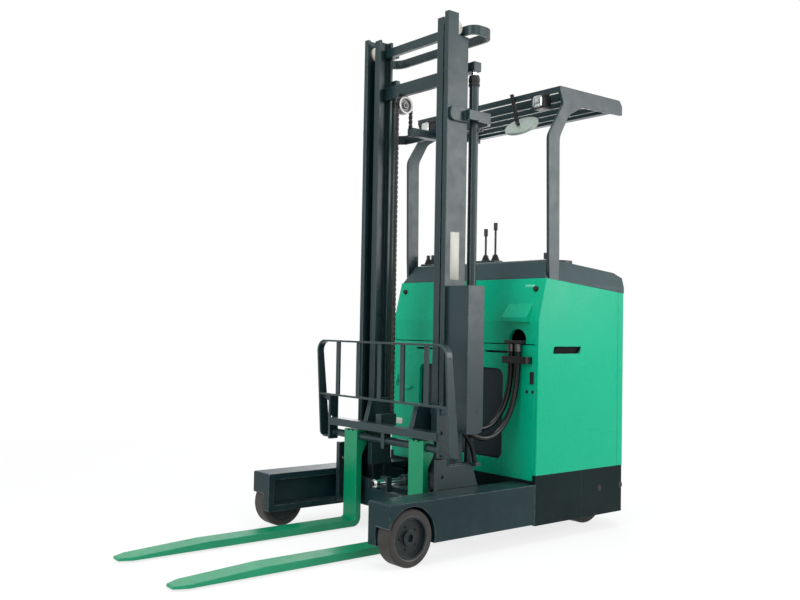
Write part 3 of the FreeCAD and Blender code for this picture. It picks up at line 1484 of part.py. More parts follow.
def backrest():
    """The load backrest: two tapered side plates bent into the top bar, a middle bar and five uprights."""
    parts = []
    top_front = -S.rackFront
    foot_front = top_front - S.rackLean
    for number, side in enumerate((-1, 1)):
        low, high = mirrored(S.guardHalf - S.rackPlate, S.guardHalf, side)
        parts.append(slab(
            "rack_side_%d" % number, "XZ_Plane",
            [(foot_front, S.rackFoot), (top_front, S.rackTop - S.rackBend),
             (top_front - S.rackDeep, S.rackTop - S.rackBend),
             (foot_front - S.rackFootDeep, S.rackFoot)],
            low, high, {0: S.rackFootRound},
        ))
        low, high = mirrored(S.carriageOut, S.guardHalf - S.rackPlate + 1, side)
        parts.append(slab(
            "rack_foot_%d" % number, "XZ_Plane",
            [(foot_front - S.rackFootDeep + 2, S.rackFoot), (foot_front - 14, S.rackFoot),
             (foot_front - 14, S.rackFoot + S.rackPlate),
             (foot_front - S.rackFootDeep + 2, S.rackFoot + S.rackPlate)],
            low, high,
        ))
        parts.append(slab(
            "rack_lug_%d" % number, "YZ_Plane",
            [(S.carriageOut * side, S.rackMid - S.rackPlate), (S.carriageOut * side, S.rackMid - 44),
             ((S.guardHalf - S.rackPlate + 1) * side, S.rackMid - S.rackPlate - 12),
             ((S.guardHalf - S.rackPlate + 1) * side, S.rackMid - S.rackPlate)],
            -S.carriageFront - 22, -S.carriageFront - 6,
        ))
    outer = S.guardHalf
    inner = outer - S.rackPlate
    bend = S.rackTop - S.rackBend
    hoop = [
        (-outer, bend - 1), (-outer, S.rackTop), (outer, S.rackTop), (outer, bend - 1),
        (inner, bend - 1), (inner, S.rackTop - S.rackPlate), (-inner, S.rackTop - S.rackPlate),
        (-inner, bend - 1),
    ]
    bend_inner = S.rackBend - S.rackPlate
    rounds = {1: S.rackBend - 2, 2: S.rackBend - 2, 5: bend_inner - 2, 6: bend_inner - 2}
    parts.append(slab("rack_hoop", "YZ_Plane", hoop, top_front - S.rackDeep, top_front, rounds))
    bar = inner + 1
    parts.append(block("rack_mid", (-S.carriageFront - 22, -S.carriageFront + 12), (-bar, bar),
                       (S.rackMid - S.rackPlate, S.rackMid)))
    for number in range(5):
        y = S.uprightOut * ((number - 2) / 2.0)
        parts.append(block("rack_bar_%d" % number, (-S.carriageFront, -S.carriageFront + 10),
                           (y - S.uprightWide / 2, y + S.uprightWide / 2),
                           (S.rackMid - 5, S.rackTop - S.rackPlate + 4)))
    node(fuse("rack_fused", *parts), "load_backrest")


def fork(side, name):
    """One fork: eye round the shaft, upright shank, curved heel and a blade that tapers to its tip."""
    face = -S.forkFace
    shank = face - S.forkThick
    low, high = mirrored(S.forkOut - S.forkWide / 2, S.forkOut + S.forkWide / 2, side)
    outline = [
        (face, S.forkTop),
        (face, S.forkUnder + S.forkThick),
        (S.tipReach - S.forkTaper, S.forkUnder + S.forkThick),
        (S.tipReach, S.forkUnder + S.forkTipThick),
        (S.tipReach, S.forkUnder),
        (shank, S.forkUnder),
        (shank, S.shaftHeight - 96),
        (-S.forkHead, S.shaftHeight - 40),
        (-S.forkHead, S.forkTop),
    ]
    rounds = {1: S.forkHeelIn, 3: S.forkTipThick / 3, 5: S.forkHeelIn + S.forkThick - 4, 6: size(20.0),
              7: size(24.0),
              8: size(18.0)}
    blade = slab(name + "_blade", "XZ_Plane", outline, low, high, rounds)
    eye = drum(name + "_eye", "y", (low - 1, high + 1), (-S.shaftBehind, S.shaftHeight),
               S.shaftRadius + S.forkEye)
    notches = []
    for number, y in enumerate((S.forkOut * side - S.latchApart, S.forkOut * side + S.latchApart)):
        notches.append(slab(
            "%s_latch_%d" % (name, number), "YZ_Plane",
            [(y - S.latchDeep, S.forkTop + 1), (y, S.forkTop - S.latchDeep),
             (y + S.latchDeep, S.forkTop + 1)],
            -S.forkHead - 1, face + 1,
        ))
    tip = []
    for number, edge in enumerate((-1, 1)):
        corner = S.forkOut * side + S.forkWide / 2 * edge
        tip.append(slab(
            "%s_tip_%d" % (name, number), "XY_Plane",
            [(S.tipReach - S.forkTipRun, corner), (S.tipReach + 1, corner - S.forkTipIn * edge),
             (S.tipReach + 1, corner + edge), (S.tipReach - S.forkTipRun, corner + edge)],
            S.forkUnder - 1, S.forkUnder + S.forkThick,
        ))
    node(cut(name, blade, eye, *notches, *tip), name)


def write_parts():
    """Check every object, then write each node's shape to its file."""
    DOC.recompute()
    for thing in DOC.Objects:
        if "Invalid" in thing.State or "Error" in thing.State:
            raise RuntimeError("failed object: " + thing.Name)
    os.makedirs("parts", exist_ok=True)
    for thing in NODES:
        shape = thing.Shape
        if shape.isNull() or not shape.isValid():
            raise RuntimeError("bad shape: " + thing.Label)
        shape.exportStep("parts/%s.step" % thing.Label)
        print("%-20s solids %d  volume %.0f" % (thing.Label, len(shape.Solids), shape.Volume))


chassis_base()
rear_base()
leg(1, "leg_left")
leg(-1, "leg_right")
load_wheel(1, "load_left")
load_wheel(-1, "load_right")
drive_unit()
caster()
battery()
front_panels()
side_panels()
drive_housing()
operator_place()
hood()
steering()
levers()
overhead_guard()
mirror()
hoses()
reach_frame()
reach_cylinder()
outer_mast()
inner_mast()
chain()
fork_carriage()
backrest()
fork(1, "fork_left")
fork(-1, "fork_right")
write_parts()
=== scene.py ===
import math

import bpy
import numpy as np
from mathutils import Matrix, Vector


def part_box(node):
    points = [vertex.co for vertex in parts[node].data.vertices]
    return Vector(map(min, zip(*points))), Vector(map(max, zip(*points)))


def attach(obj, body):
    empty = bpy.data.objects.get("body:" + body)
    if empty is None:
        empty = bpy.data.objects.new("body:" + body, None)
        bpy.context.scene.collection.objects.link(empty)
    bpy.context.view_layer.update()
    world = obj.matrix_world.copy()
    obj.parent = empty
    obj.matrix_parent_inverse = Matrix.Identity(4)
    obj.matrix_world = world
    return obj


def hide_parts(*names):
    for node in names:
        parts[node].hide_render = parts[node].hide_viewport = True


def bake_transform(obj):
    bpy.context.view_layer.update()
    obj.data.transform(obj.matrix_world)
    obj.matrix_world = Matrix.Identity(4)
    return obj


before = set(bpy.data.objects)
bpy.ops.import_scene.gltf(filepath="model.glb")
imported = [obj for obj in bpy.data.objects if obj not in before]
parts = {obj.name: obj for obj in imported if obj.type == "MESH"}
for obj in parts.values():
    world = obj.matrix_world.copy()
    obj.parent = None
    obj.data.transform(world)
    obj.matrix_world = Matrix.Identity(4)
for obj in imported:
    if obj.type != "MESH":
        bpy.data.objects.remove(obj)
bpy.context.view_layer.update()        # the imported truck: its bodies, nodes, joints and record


# ---------------------------------------------------------------- camera
# A normal lens at chest height, off the truck's front left corner, leaning a touch as a hand-held one does.
# Its shift keeps the mast upright and the forks' tips in the picture.
LENS_MM = 40.76
SENSOR_MM = 36.0
EYE = Vector((2.9807, 3.4953, 1.0540))
HEADING = math.radians(-128.0433)
TILT = math.radians(1.7441)
LEAN = math.radians(1.0942)

ahead = Vector((math.cos(HEADING) * math.cos(TILT), math.sin(HEADING) * math.cos(TILT), math.sin(TILT)))
level = Vector((math.sin(HEADING), -math.cos(HEADING), 0.0))
above = level.cross(ahead)
right = level * math.cos(LEAN) + above * math.sin(LEAN)
up = above * math.cos(LEAN) - level * math.sin(LEAN)
camera = bpy.data.objects.new("camera", bpy.data.cameras.new("camera"))
bpy.context.scene.collection.objects.link(camera)
camera.data.sensor_width = SENSOR_MM
camera.data.lens = LENS_MM
camera.data.shift_x = 0.0623
camera.data.shift_y = -0.0035
camera.matrix_world = Matrix((
    (right.x, up.x, -ahead.x, EYE.x),
    (right.y, up.y, -ahead.y, EYE.y),
    (right.z, up.z, -ahead.z, EYE.z),
    (0.0, 0.0, 0.0, 1.0),
))
bpy.context.scene.camera = camera
bpy.context.scene.view_settings.view_transform = "Standard"


# ---------------------------------------------------------------- studio
# A seamless pale floor with five large soft lamps: a key and a fill on the truck's left, one ahead of it, one
# behind it and one overhead. Floor and world show plain white, with a faint shadow near the truck.
FLOOR_HALF = 40.0
SHADOW_REACH = (1.8, 5.0)
SHADOW_SHARE = 0.80
SKY_STRENGTH = 0.42
# Each lamp's place, the point it looks at, its width in metres and its power in watts.
LAMPS = {
    "key_left": ((-4.0, 4.4, 2.5), (-0.5, 0.3, 1.1), 3.4, 150.0),
    "fill_left": ((0.8, 5.6, 3.6), (-0.3, 0.0, 0.9), 4.0, 62.0),
    "fill_ahead": ((5.6, 0.6, 2.8), (-0.2, 0.0, 1.0), 4.0, 205.0),
    "fill_behind": ((-4.6, -4.0, 3.2), (-0.6, 0.0, 1.2), 4.0, 170.0),
    "overhead": ((-0.2, 0.6, 6.0), (-0.3, 0.0, 0.5), 5.0, 190.0),
}


def link(tree, source, target):
    """Joins one node's output to another node's input."""
    tree.links.new(source, target)


def maths(tree, operation, first, second=0.0):
    """One Math node, with each of its inputs a socket or a number."""
    node = tree.nodes.new("ShaderNodeMath")
    node.operation = operation
    for slot, value in ((0, first), (1, second)):
        if isinstance(value, (int, float)):
            node.inputs[slot].default_value = value
        else:
            link(tree, value, node.inputs[slot])
    return node.outputs[0]


def remap(tree, value, low, high, out_low=0.0, out_high=1.0):
    """Maps value from low..high to out_low..out_high, held at the ends."""
    node = tree.nodes.new("ShaderNodeMapRange")
    node.inputs["From Min"].default_value = low
    node.inputs["From Max"].default_value = high
    node.inputs["To Min"].default_value = out_low
    node.inputs["To Max"].default_value = out_high
    link(tree, value, node.inputs["Value"])
    return node.outputs["Result"]


def seen_plain(tree, white, plain, share):
    """A shader that is white to the camera and to reflections for a share, and plain to everything else."""
    rays = tree.nodes.new("ShaderNodeLightPath")
    seen = maths(tree, "MAXIMUM", rays.outputs["Is Camera Ray"], rays.outputs["Is Glossy Ray"])
    seen = maths(tree, "MAXIMUM", seen, rays.outputs["Is Transmission Ray"])
    mixed = tree.nodes.new("ShaderNodeMixShader")
    link(tree, maths(tree, "MULTIPLY", seen, share), mixed.inputs[0])
    link(tree, plain, mixed.inputs[1])
    link(tree, white, mixed.inputs[2])
    return mixed.outputs[0]


def studio():
    """Makes the floor, the world and the lamps."""
    mesh = bpy.data.meshes.new("studio_floor")
    half = FLOOR_HALF
    mesh.from_pydata([(-half, -half, 0), (half, -half, 0), (half, half, 0), (-half, half, 0)], [],
                     [(0, 1, 2, 3)])
    floor = bpy.data.objects.new("studio_floor", mesh)
    bpy.context.scene.collection.objects.link(floor)
    matt = bpy.data.materials.new("studio_floor")
    matt.use_nodes = True
    tree = matt.node_tree
    tree.nodes.clear()
    diffuse = tree.nodes.new("ShaderNodeBsdfDiffuse")
    diffuse.inputs["Color"].default_value = (0.86, 0.86, 0.86, 1)
    glow = tree.nodes.new("ShaderNodeEmission")
    glow.inputs["Color"].default_value = (1, 1, 1, 1)
    glow.inputs["Strength"].default_value = 1.0
    away = tree.nodes.new("ShaderNodeVectorMath")
    away.operation = "LENGTH"
    link(tree, tree.nodes.new("ShaderNodeTexCoord").outputs["Object"], away.inputs[0])
    share = remap(tree, away.outputs["Value"], *SHADOW_REACH, SHADOW_SHARE, 1.0)
    out = tree.nodes.new("ShaderNodeOutputMaterial")
    link(tree, seen_plain(tree, glow.outputs[0], diffuse.outputs[0], share), out.inputs["Surface"])
    mesh.materials.append(matt)

    world = bpy.data.worlds.new("studio")
    bpy.context.scene.world = world
    world.use_nodes = True
    tree = world.node_tree
    tree.nodes.clear()
    soft = tree.nodes.new("ShaderNodeBackground")
    soft.inputs["Color"].default_value = (0.93, 0.97, 1.0, 1)
    soft.inputs["Strength"].default_value = SKY_STRENGTH
    white = tree.nodes.new("ShaderNodeBackground")
    white.inputs["Color"].default_value = (1, 1, 1, 1)
    white.inputs["Strength"].default_value = 1.0
    out = tree.nodes.new("ShaderNodeOutputWorld")
    link(tree, seen_plain(tree, white.outputs[0], soft.outputs[0], 1.0), out.inputs["Surface"])

    for name, (place, target, size, power) in LAMPS.items():
        lamp = bpy.data.lights.new(name, "AREA")
        lamp.shape = "DISK"
        lamp.size = size
        lamp.energy = power
        holder = bpy.data.objects.new(name, lamp)
        bpy.context.scene.collection.objects.link(holder)
        holder.location = place
        aim = Vector(target) - Vector(place)
        holder.rotation_euler = aim.to_track_quat("-Z", "Y").to_euler()


studio()


# ---------------------------------------------------------------- hoses
# Two thick rubber hoses run from a gland in the front panel to the mast's cover, and a thinner one on to the
# reach carriage. Each is a smooth curve, and a thick one leaves its gland in a crimped dark steel ferrule.
HOSE_INNER = [(-0.495, 0.976), (-0.495, 0.850), (-0.481, 0.738), (-0.440, 0.648), (-0.379, 0.585),
              (-0.307, 0.556), (-0.231, 0.560), (-0.161, 0.590)]
HOSE_OUTER = [(-0.495, 0.976), (-0.495, 0.838), (-0.477, 0.712), (-0.428, 0.607), (-0.360, 0.541),
              (-0.285, 0.514), (-0.207, 0.522), (-0.135, 0.557)]
HOSE_LEAD = [(-0.136, 0.560), (-0.173, 0.524), (-0.202, 0.483), (-0.220, 0.440), (-0.227, 0.394)]
INNER_OUT, OUTER_OUT, LEAD_OUT = 0.385, 0.430, 0.400
HOSE_RADIUS, LEAD_RADIUS = 0.015, 0.012
HOSE_AROUND = 24
WRAP_TURNS = 420.0       # per metre of hose
FERRULE_LONG = 0.042
FERRULE_ROWS = 15


def new_group(name, inputs, outputs):
    """An empty shader node group with named sockets, and its input and output nodes."""
    group = bpy.data.node_groups.new(name, "ShaderNodeTree")
    for label, kind, value in inputs:
        socket = group.interface.new_socket(label, in_out="INPUT", socket_type=kind)
        if value is not None:
            socket.default_value = value
    for label, kind in outputs:
        group.interface.new_socket(label, in_out="OUTPUT", socket_type=kind)
    return group, group.nodes.new("NodeGroupInput"), group.nodes.new("NodeGroupOutput")


def noise(tree, place, scale, detail=3.0, rough=0.55):
    """A noise texture on the given coordinates."""
    node = tree.nodes.new("ShaderNodeTexNoise")
    node.inputs["Detail"].default_value = detail
    node.inputs["Roughness"].default_value = rough
    if isinstance(scale, float):
        node.inputs["Scale"].default_value = scale
    else:
        link(tree, scale, node.inputs["Scale"])
    link(tree, place, node.inputs["Vector"])
    return node.outputs["Fac"]


def mix_colour(tree, share, first, second):
    """A colour between first and second by share."""
    node = tree.nodes.new("ShaderNodeMix")
    node.data_type = "RGBA"
    link(tree, share, node.inputs["Factor"])
    for slot, value in ((6, first), (7, second)):
        if isinstance(value, tuple):
            node.inputs[slot].default_value = value
        else:
            link(tree, value, node.inputs[slot])
    return node.outputs[2]


def parted_place(tree):
    """The object coordinates' three parts."""
    parted = tree.nodes.new("ShaderNodeSeparateXYZ")
    link(tree, tree.nodes.new("ShaderNodeTexCoord").outputs["Object"], parted.inputs[0])
    return parted.outputs


def edge_wear_and_highlight_group():
    """Rounded edges for shading, and a mask that is 1 along sharp edges, for rubbed paint and for a painted
    highlight
    where a material asks for one: 1 minus the cosine between the rounded and the flat normal, broken up by
    noise."""
    group, given, made = new_group(
        "edge_wear_and_highlight",
        [("Radius", "NodeSocketFloat", 0.004), ("Break Up", "NodeSocketFloat", 30.0)],
        [("Normal", "NodeSocketVector"), ("Wear And Highlight", "NodeSocketFloat")],
    )
    bevel = group.nodes.new("ShaderNodeBevel")
    bevel.samples = 6
    link(group, given.outputs["Radius"], bevel.inputs["Radius"])
    flat = group.nodes.new("ShaderNodeNewGeometry")
    across = group.nodes.new("ShaderNodeVectorMath")
    across.operation = "DOT_PRODUCT"
    link(group, bevel.outputs["Normal"], across.inputs[0])
    link(group, flat.outputs["Normal"], across.inputs[1])
    turned = maths(group, "SUBTRACT", 1.0, across.outputs["Value"])
    sharp = remap(group, turned, 0.03, 0.22)
    place = group.nodes.new("ShaderNodeTexCoord").outputs["Object"]
    broken = remap(group, noise(group, place, given.outputs["Break Up"], 4.0, 0.65), 0.36, 0.58)
    link(group, bevel.outputs["Normal"], made.inputs["Normal"])
    link(group, maths(group, "MULTIPLY", sharp, broken), made.inputs["Wear And Highlight"])
    return group


def tone_group():
    """Slow changes of shade over a surface, fine grain for its bump, a mask for its shine, and a mask for the
    dust that lies on faces that look up and near the floor."""
    group, given, made = new_group(
        "tone",
        [("Patch Size", "NodeSocketFloat", 2.5), ("Grain Size", "NodeSocketFloat", 500.0)],
        [("Patch", "NodeSocketFloat"), ("Grain", "NodeSocketFloat"), ("Shine", "NodeSocketFloat"),
         ("Dust", "NodeSocketFloat")],
    )
    place = group.nodes.new("ShaderNodeTexCoord").outputs["Object"]
    patch = noise(group, place, given.outputs["Patch Size"], 4.0, 0.5)
    grain = noise(group, place, given.outputs["Grain Size"], 2.0, 0.5)
    smear = noise(group, place, maths(group, "MULTIPLY", given.outputs["Patch Size"], 6.0), 5.0, 0.6)
    link(group, remap(group, patch, 0.3, 0.7), made.inputs["Patch"])
    link(group, grain, made.inputs["Grain"])
    link(group, remap(group, smear, 0.3, 0.75), made.inputs["Shine"])
    facing = group.nodes.new("ShaderNodeSeparateXYZ")
    link(group, group.nodes.new("ShaderNodeNewGeometry").outputs["Normal"], facing.inputs[0])
    lying = remap(group, facing.outputs["Z"], 0.4, 1.0)
    splashed = remap(group, parted_place(group)["Z"], 0.0, 0.30, 0.45, 0.0)
    cover = maths(group, "MAXIMUM", lying, splashed)
    link(group, maths(group, "MULTIPLY", cover, remap(group, smear, 0.42, 0.70)), made.inputs["Dust"])
    return group


EDGE_WEAR_AND_HIGHLIGHT = edge_wear_and_highlight_group()
TONE = tone_group()
DUST = (0.19, 0.19, 0.17, 1)


def finish(name, colour, shade, rubbed_and_highlight, rough, spread=0.08, metal=0.0, grain=500.0, depth=0.05,
           radius=0.004, wear_and_highlight=0.5, patch=2.5, coat=0.0, specular=0.5, dust=0.12, drawn=None):
    """A coated or moulded surface: two shades in slow patches, paler edges for rubbed paint and painted
    highlight, dust, grain and uneven shine.
    drawn, if given, is a function of the node tree that returns a height and the colour's share of dark."""
    material = bpy.data.materials.new(name)
    material.use_nodes = True
    tree = material.node_tree
    shader = tree.nodes["Principled BSDF"]
    shader.inputs["Metallic"].default_value = metal
    shader.inputs["Coat Weight"].default_value = coat
    shader.inputs["Coat Roughness"].default_value = 0.12
    shader.inputs["Specular IOR Level"].default_value = specular
    edges = tree.nodes.new("ShaderNodeGroup")
    edges.node_tree = EDGE_WEAR_AND_HIGHLIGHT
    edges.inputs["Radius"].default_value = radius
    tones = tree.nodes.new("ShaderNodeGroup")
    tones.node_tree = TONE
    tones.inputs["Patch Size"].default_value = patch
    tones.inputs["Grain Size"].default_value = grain
    body = mix_colour(tree, tones.outputs["Patch"], colour, shade)
    height = tones.outputs["Grain"]
    if drawn:
        relief, dark = drawn(tree)
        body = mix_colour(tree, dark, body, tuple(0.3 * part for part in colour[:3]) + (1,))
        height = maths(tree, "ADD", maths(tree, "MULTIPLY", height, 0.25), relief)
    body = mix_colour(tree, maths(tree, "MULTIPLY", tones.outputs["Dust"], dust), body, DUST)
    worn_and_highlit = maths(tree, "MULTIPLY", edges.outputs["Wear And Highlight"], wear_and_highlight)
    link(tree, mix_colour(tree, worn_and_highlit, body, rubbed_and_highlight), shader.inputs["Base Color"])
    link(tree, remap(tree, tones.outputs["Shine"], 0.0, 1.0, rough - spread, rough + spread),
         shader.inputs["Roughness"])
    bump = tree.nodes.new("ShaderNodeBump")
    bump.inputs["Strength"].default_value = depth
    bump.inputs["Distance"].default_value = 0.001
    link(tree, height, bump.inputs["Height"])
    link(tree, edges.outputs["Normal"], bump.inputs["Normal"])
    link(tree, bump.outputs["Normal"], shader.inputs["Normal"])
    return material


def dress(material, *names):
    """Gives the named nodes this material."""
    for name in names:
        for place in parts[name].material_slots:
            place.material = material


def even_turns(count):
    """Angles shared evenly over one full turn."""
    return np.linspace(0, 2 * np.pi, count, endpoint=False)


def rows_of_rings(rows, around):
    """The faces of a closed surface made of rings of points, one ring a row: quads between the rings, and a
    cap on the first and on the last."""
    row = np.arange(rows - 1)[:, None] * around
    turn = np.arange(around)
    after = (turn + 1) % around
    quads = np.stack([row + turn, row + after, row + around + after, row + around + turn],
                     axis=-1).reshape(-1, 4)
    last = (rows - 1) * around
    return quads.tolist() + [list(range(around - 1, -1, -1)), list(range(last, last + around))]


def piece(name, points, faces, material, body, crease=32.0):
    """A mesh object at the origin, shaded smooth but for creases sharper than an angle in degrees."""
    mesh = bpy.data.meshes.new(name)
    mesh.from_pydata(np.asarray(points).tolist(), [], faces)
    mesh.materials.append(material)
    mesh.polygons.foreach_set("use_smooth", np.ones(len(mesh.polygons), bool))
    mesh.set_sharp_from_angle(angle=math.radians(crease))
    thing = bpy.data.objects.new(name, mesh)
    bpy.context.scene.collection.objects.link(thing)
    if body:
        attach(thing, body)
    return thing


def smooth_line(name, route, out):
    """Points along the NURBS spline that the route's (x, z) points steer, in the upright plane at y = out."""
    curve = bpy.data.curves.new(name, "CURVE")
    curve.dimensions = "3D"
    spline = curve.splines.new("NURBS")
    spline.points.add(len(route) - 1)
    spline.points.foreach_set("co", np.array([(x, out, z, 1.0) for x, z in route]).ravel())
    spline.order_u = 3
    spline.use_endpoint_u = True
    spline.resolution_u = 10
    holder = bpy.data.objects.new(name, curve)
    bpy.context.scene.collection.objects.link(holder)
    mesh = bpy.data.meshes.new_from_object(holder)
    line = np.empty(len(mesh.vertices) * 3)
    mesh.vertices.foreach_get("co", line)
    bpy.data.objects.remove(holder)
    bpy.data.meshes.remove(mesh)
    return line.reshape(-1, 3)


def round_along(line, radii, around):
    """Rings about a line in an upright plane: point = line + radius (cos t side + sin t across), where
    side is +Y and across is the line's direction turned a quarter."""
    run = np.gradient(line, axis=0)
    run /= np.linalg.norm(run, axis=1)[:, None]
    side = np.array([0.0, 1.0, 0.0])
    across = np.cross(run, side)
    turn = even_turns(around)
    spokes = np.cos(turn)[None, :, None] * side + np.sin(turn)[None, :, None] * across[:, None, :]
    return (line[:, None, :] + np.asarray(radii)[:, None, None] * spokes).reshape(-1, 3)


def wrapped_jacket(tree):
    """The faint spiral that the cloth wrap leaves on a cured hose: a wave along the hose's own length."""
    place = tree.nodes.new("ShaderNodeUVMap")
    place.uv_map = "UVMap"
    parted = tree.nodes.new("ShaderNodeSeparateXYZ")
    link(tree, place.outputs["UV"], parted.inputs[0])
    turns = maths(tree, "ADD", maths(tree, "MULTIPLY", parted.outputs["Y"], WRAP_TURNS), parted.outputs["X"])
    wave = maths(tree, "SINE", maths(tree, "MULTIPLY", turns, math.tau))
    return maths(tree, "MULTIPLY", wave, 0.06), remap(tree, wave, -1.0, 1.0, 0.05, 0.0)


hose_rubber = finish("hose_rubber", (0.004, 0.004, 0.005, 1), (0.006, 0.006, 0.007, 1),
                     (0.012, 0.012, 0.012, 1), 0.26, grain=900.0, depth=0.12, wear_and_highlight=0.2, specular=0.24,
                     dust=0.0, drawn=wrapped_jacket)
plated_steel = finish("plated_steel", (0.11, 0.11, 0.105, 1), (0.07, 0.07, 0.07, 1), (0.26, 0.26, 0.25, 1),
                      0.36, metal=1.0, grain=400.0, depth=0.08, dust=0.3)


def hose(name, route, out, radius, body, keep):
    """A hose's jacket along its route, kept where keep is true of its line."""
    line = smooth_line(name + "_line", route, out)
    line = line[keep(line)]
    points = round_along(line, np.full(len(line), radius), HOSE_AROUND)
    faces = rows_of_rings(len(line), HOSE_AROUND)
    jacket = piece(name + "_jacket", points, faces, hose_rubber, body)
    gone = np.concatenate([[0.0], np.cumsum(np.linalg.norm(np.diff(line, axis=0), axis=1))])
    spread = jacket.data.uv_layers.new(name="UVMap")
    corner = np.empty(len(jacket.data.loops), np.int32)
    jacket.data.loops.foreach_get("vertex_index", corner)
    row, turn = corner // HOSE_AROUND, corner % HOSE_AROUND
    spread.data.foreach_set("uv", np.stack([turn / HOSE_AROUND, gone[row]], axis=1).ravel())
    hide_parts(name)
    return jacket, line, gone[-1]


def ferrule(name, top, out, radius, body):
    """A crimped sleeve round a hose's end, hanging from its gland: rings of swelling and pressed bands."""
    drop = np.linspace(0.0, FERRULE_LONG, FERRULE_ROWS)
    line = np.stack([np.full(FERRULE_ROWS, top[0]), np.full(FERRULE_ROWS, out), top[1] - 0.0005 - drop],
                    axis=1)
    bands = radius + 0.0032 + 0.0008 * np.where(np.arange(FERRULE_ROWS) % 4 < 2, 1.0, -1.0)
    bands[0], bands[-1] = radius + 0.001, radius + 0.001
    faces = rows_of_rings(FERRULE_ROWS, 20)
    piece(name, round_along(line, bands, 20), faces, plated_steel, body)


for name, route, out, keep in (
    ("mast_hose_inner", HOSE_INNER, INNER_OUT, lambda line: line[:, 0] < -0.197),
    ("mast_hose_outer", HOSE_OUTER, OUTER_OUT, lambda line: line[:, 2] > 0.0),
):
    jacket, line, length = hose(name, route, out, HOSE_RADIUS, None, keep)
    ferrule(name + "_ferrule", route[0], out, HOSE_RADIUS, "chassis")
    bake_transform(jacket)
jacket, line, length = hose("reach_hose", HOSE_LEAD, LEAD_OUT, LEAD_RADIUS, "reach_mast",
                            lambda line: (line[:, 2] < 0.552) & (line[:, 2] > 0.396))


# ---------------------------------------------------------------- welded base and legs
# Thick steel plate, blasted and sprayed with a dark slate enamel that is a little rough to the touch.
# The edges catch the light, and knocked corners show a paler, rubbed line; on the legs this line is also a
# painted highlight along their edges.
SLATE = (0.011, 0.031, 0.035, 1)
SLATE_DARK = (0.007, 0.021, 0.024, 1)
SLATE_RUBBED = (0.17, 0.21, 0.22, 1)
PLUG_X = (-1.012, -1.193)
PLUG_HEIGHT = 0.224


def spun(rings, around=16):
    """A small turned shape about Z from rings of (height, radius, share of hexagon): the radius at an angle t
    is r for a round ring, and r cos 30 / cos(t mod 60 - 30) for a hexagon."""
    height, radius, six = np.array(rings, float).T[:, :, None]
    turn = even_turns(around)[None, :]
    flats = np.cos(np.pi / 6) / np.cos(np.mod(turn, np.pi / 3) - np.pi / 6)
    reach = radius * (1 - six + six * flats)
    points = np.stack([reach * np.cos(turn), reach * np.sin(turn), height + 0 * turn], axis=-1)
    return points.reshape(-1, 3), rows_of_rings(len(rings), around)


def stood(axis):
    """Three unit directions as columns: two across the axis, and the axis itself."""
    axis = np.asarray(axis, float) / np.linalg.norm(axis)
    side = np.cross(axis, (0, 0, 1) if abs(axis[2]) < 0.9 else (1, 0, 0))
    side /= np.linalg.norm(side)
    return np.stack([side, np.cross(axis, side), axis], axis=1)


def repeated(points, faces, spots, frames):
    """One small shape at many places: each point turned by the place's frame and moved to its spot."""
    spots = np.asarray(spots, float)
    everywhere = np.einsum("nij,pj->npi", np.asarray(frames), points) + spots[:, None, :]
    steps = len(points) * np.arange(len(spots))
    moved = [[corner + step for corner in face] for step in steps.tolist() for face in faces]
    return everywhere.reshape(-1, 3), moved


def inside_out(faces):
    """The same faces, turned to look the other way."""
    return [face[::-1] for face in faces]


def seat(node, start, towards):
    """The point and the outward normal where a line from start meets a node's surface."""
    hit, point, normal, face = parts[node].ray_cast(Vector(start), Vector(towards).normalized())
    if not hit:
        raise RuntimeError("nothing of %s lies ahead of %s" % (node, start))
    return np.array(point), np.array(normal)


def studs(name, seats, rings, material, body, around=12):
    """The same turned shape stood on several seats, as bolts, knobs and plugs are."""
    points, faces = spun(rings, around)
    frames = [stood(normal) for point, normal in seats]
    points, faces = repeated(points, faces, [point for point, normal in seats], frames)
    return piece(name, points, faces, material, body)


# Painted shade: the base gets a darker copy of the legs' slate enamel, standing in for the shade on the low
# base.
shaded_base_paint = finish("base_enamel_shaded", (0.004, 0.014, 0.014, 1), (0.003, 0.010, 0.010, 1), (0.07, 0.11, 0.11, 1),
                    0.42, grain=700.0, depth=0.12, wear_and_highlight=0.6, radius=0.005, specular=0.07)
# The legs' strong, pale edge line is painted highlight along their edges as well as rubbed paint.
leg_paint = finish("leg_enamel", (0.007, 0.028, 0.033, 1), (0.004, 0.018, 0.022, 1), (0.20, 0.24, 0.25, 1),
                   0.36, grain=700.0, depth=0.12, wear_and_highlight=0.8, radius=0.006, specular=0.18)
dress(shaded_base_paint, "chassis_base", "rear_base", "bulkhead", "drive_unit", "caster_fork")
dress(leg_paint, "leg_left", "leg_right")
soft_black = finish("moulded_black", (0.008, 0.008, 0.009, 1), (0.012, 0.012, 0.012, 1),
                    (0.05, 0.05, 0.05, 1), 0.5, grain=900.0, depth=0.2, wear_and_highlight=0.3, specular=0.3)
plugs = [seat("rear_base", (x, side * 0.9, PLUG_HEIGHT), (0, -side, 0)) for x in PLUG_X for side in (1, -1)]
studs("base_plugs", plugs, [(-0.001, 0.017, 0), (0.0012, 0.017, 0), (0.0018, 0.0155, 0), (0.0010, 0.0145, 0),
                            (0.0010, 0.004, 0)], soft_black, "chassis", 24)


# ---------------------------------------------------------------- wheels
# Pressed-on polyurethane tyres on painted cast hubs. A narrow dark steel ring shows between hub and tyre, and
# five socket screws stand round the hub.
TYRE = (0.020, 0.018, 0.017, 1)
TYRE_DUSTY = (0.036, 0.033, 0.031, 1)
SCREWS = 5
SCREW_CIRCLE = 0.052
RING_AROUND = 96

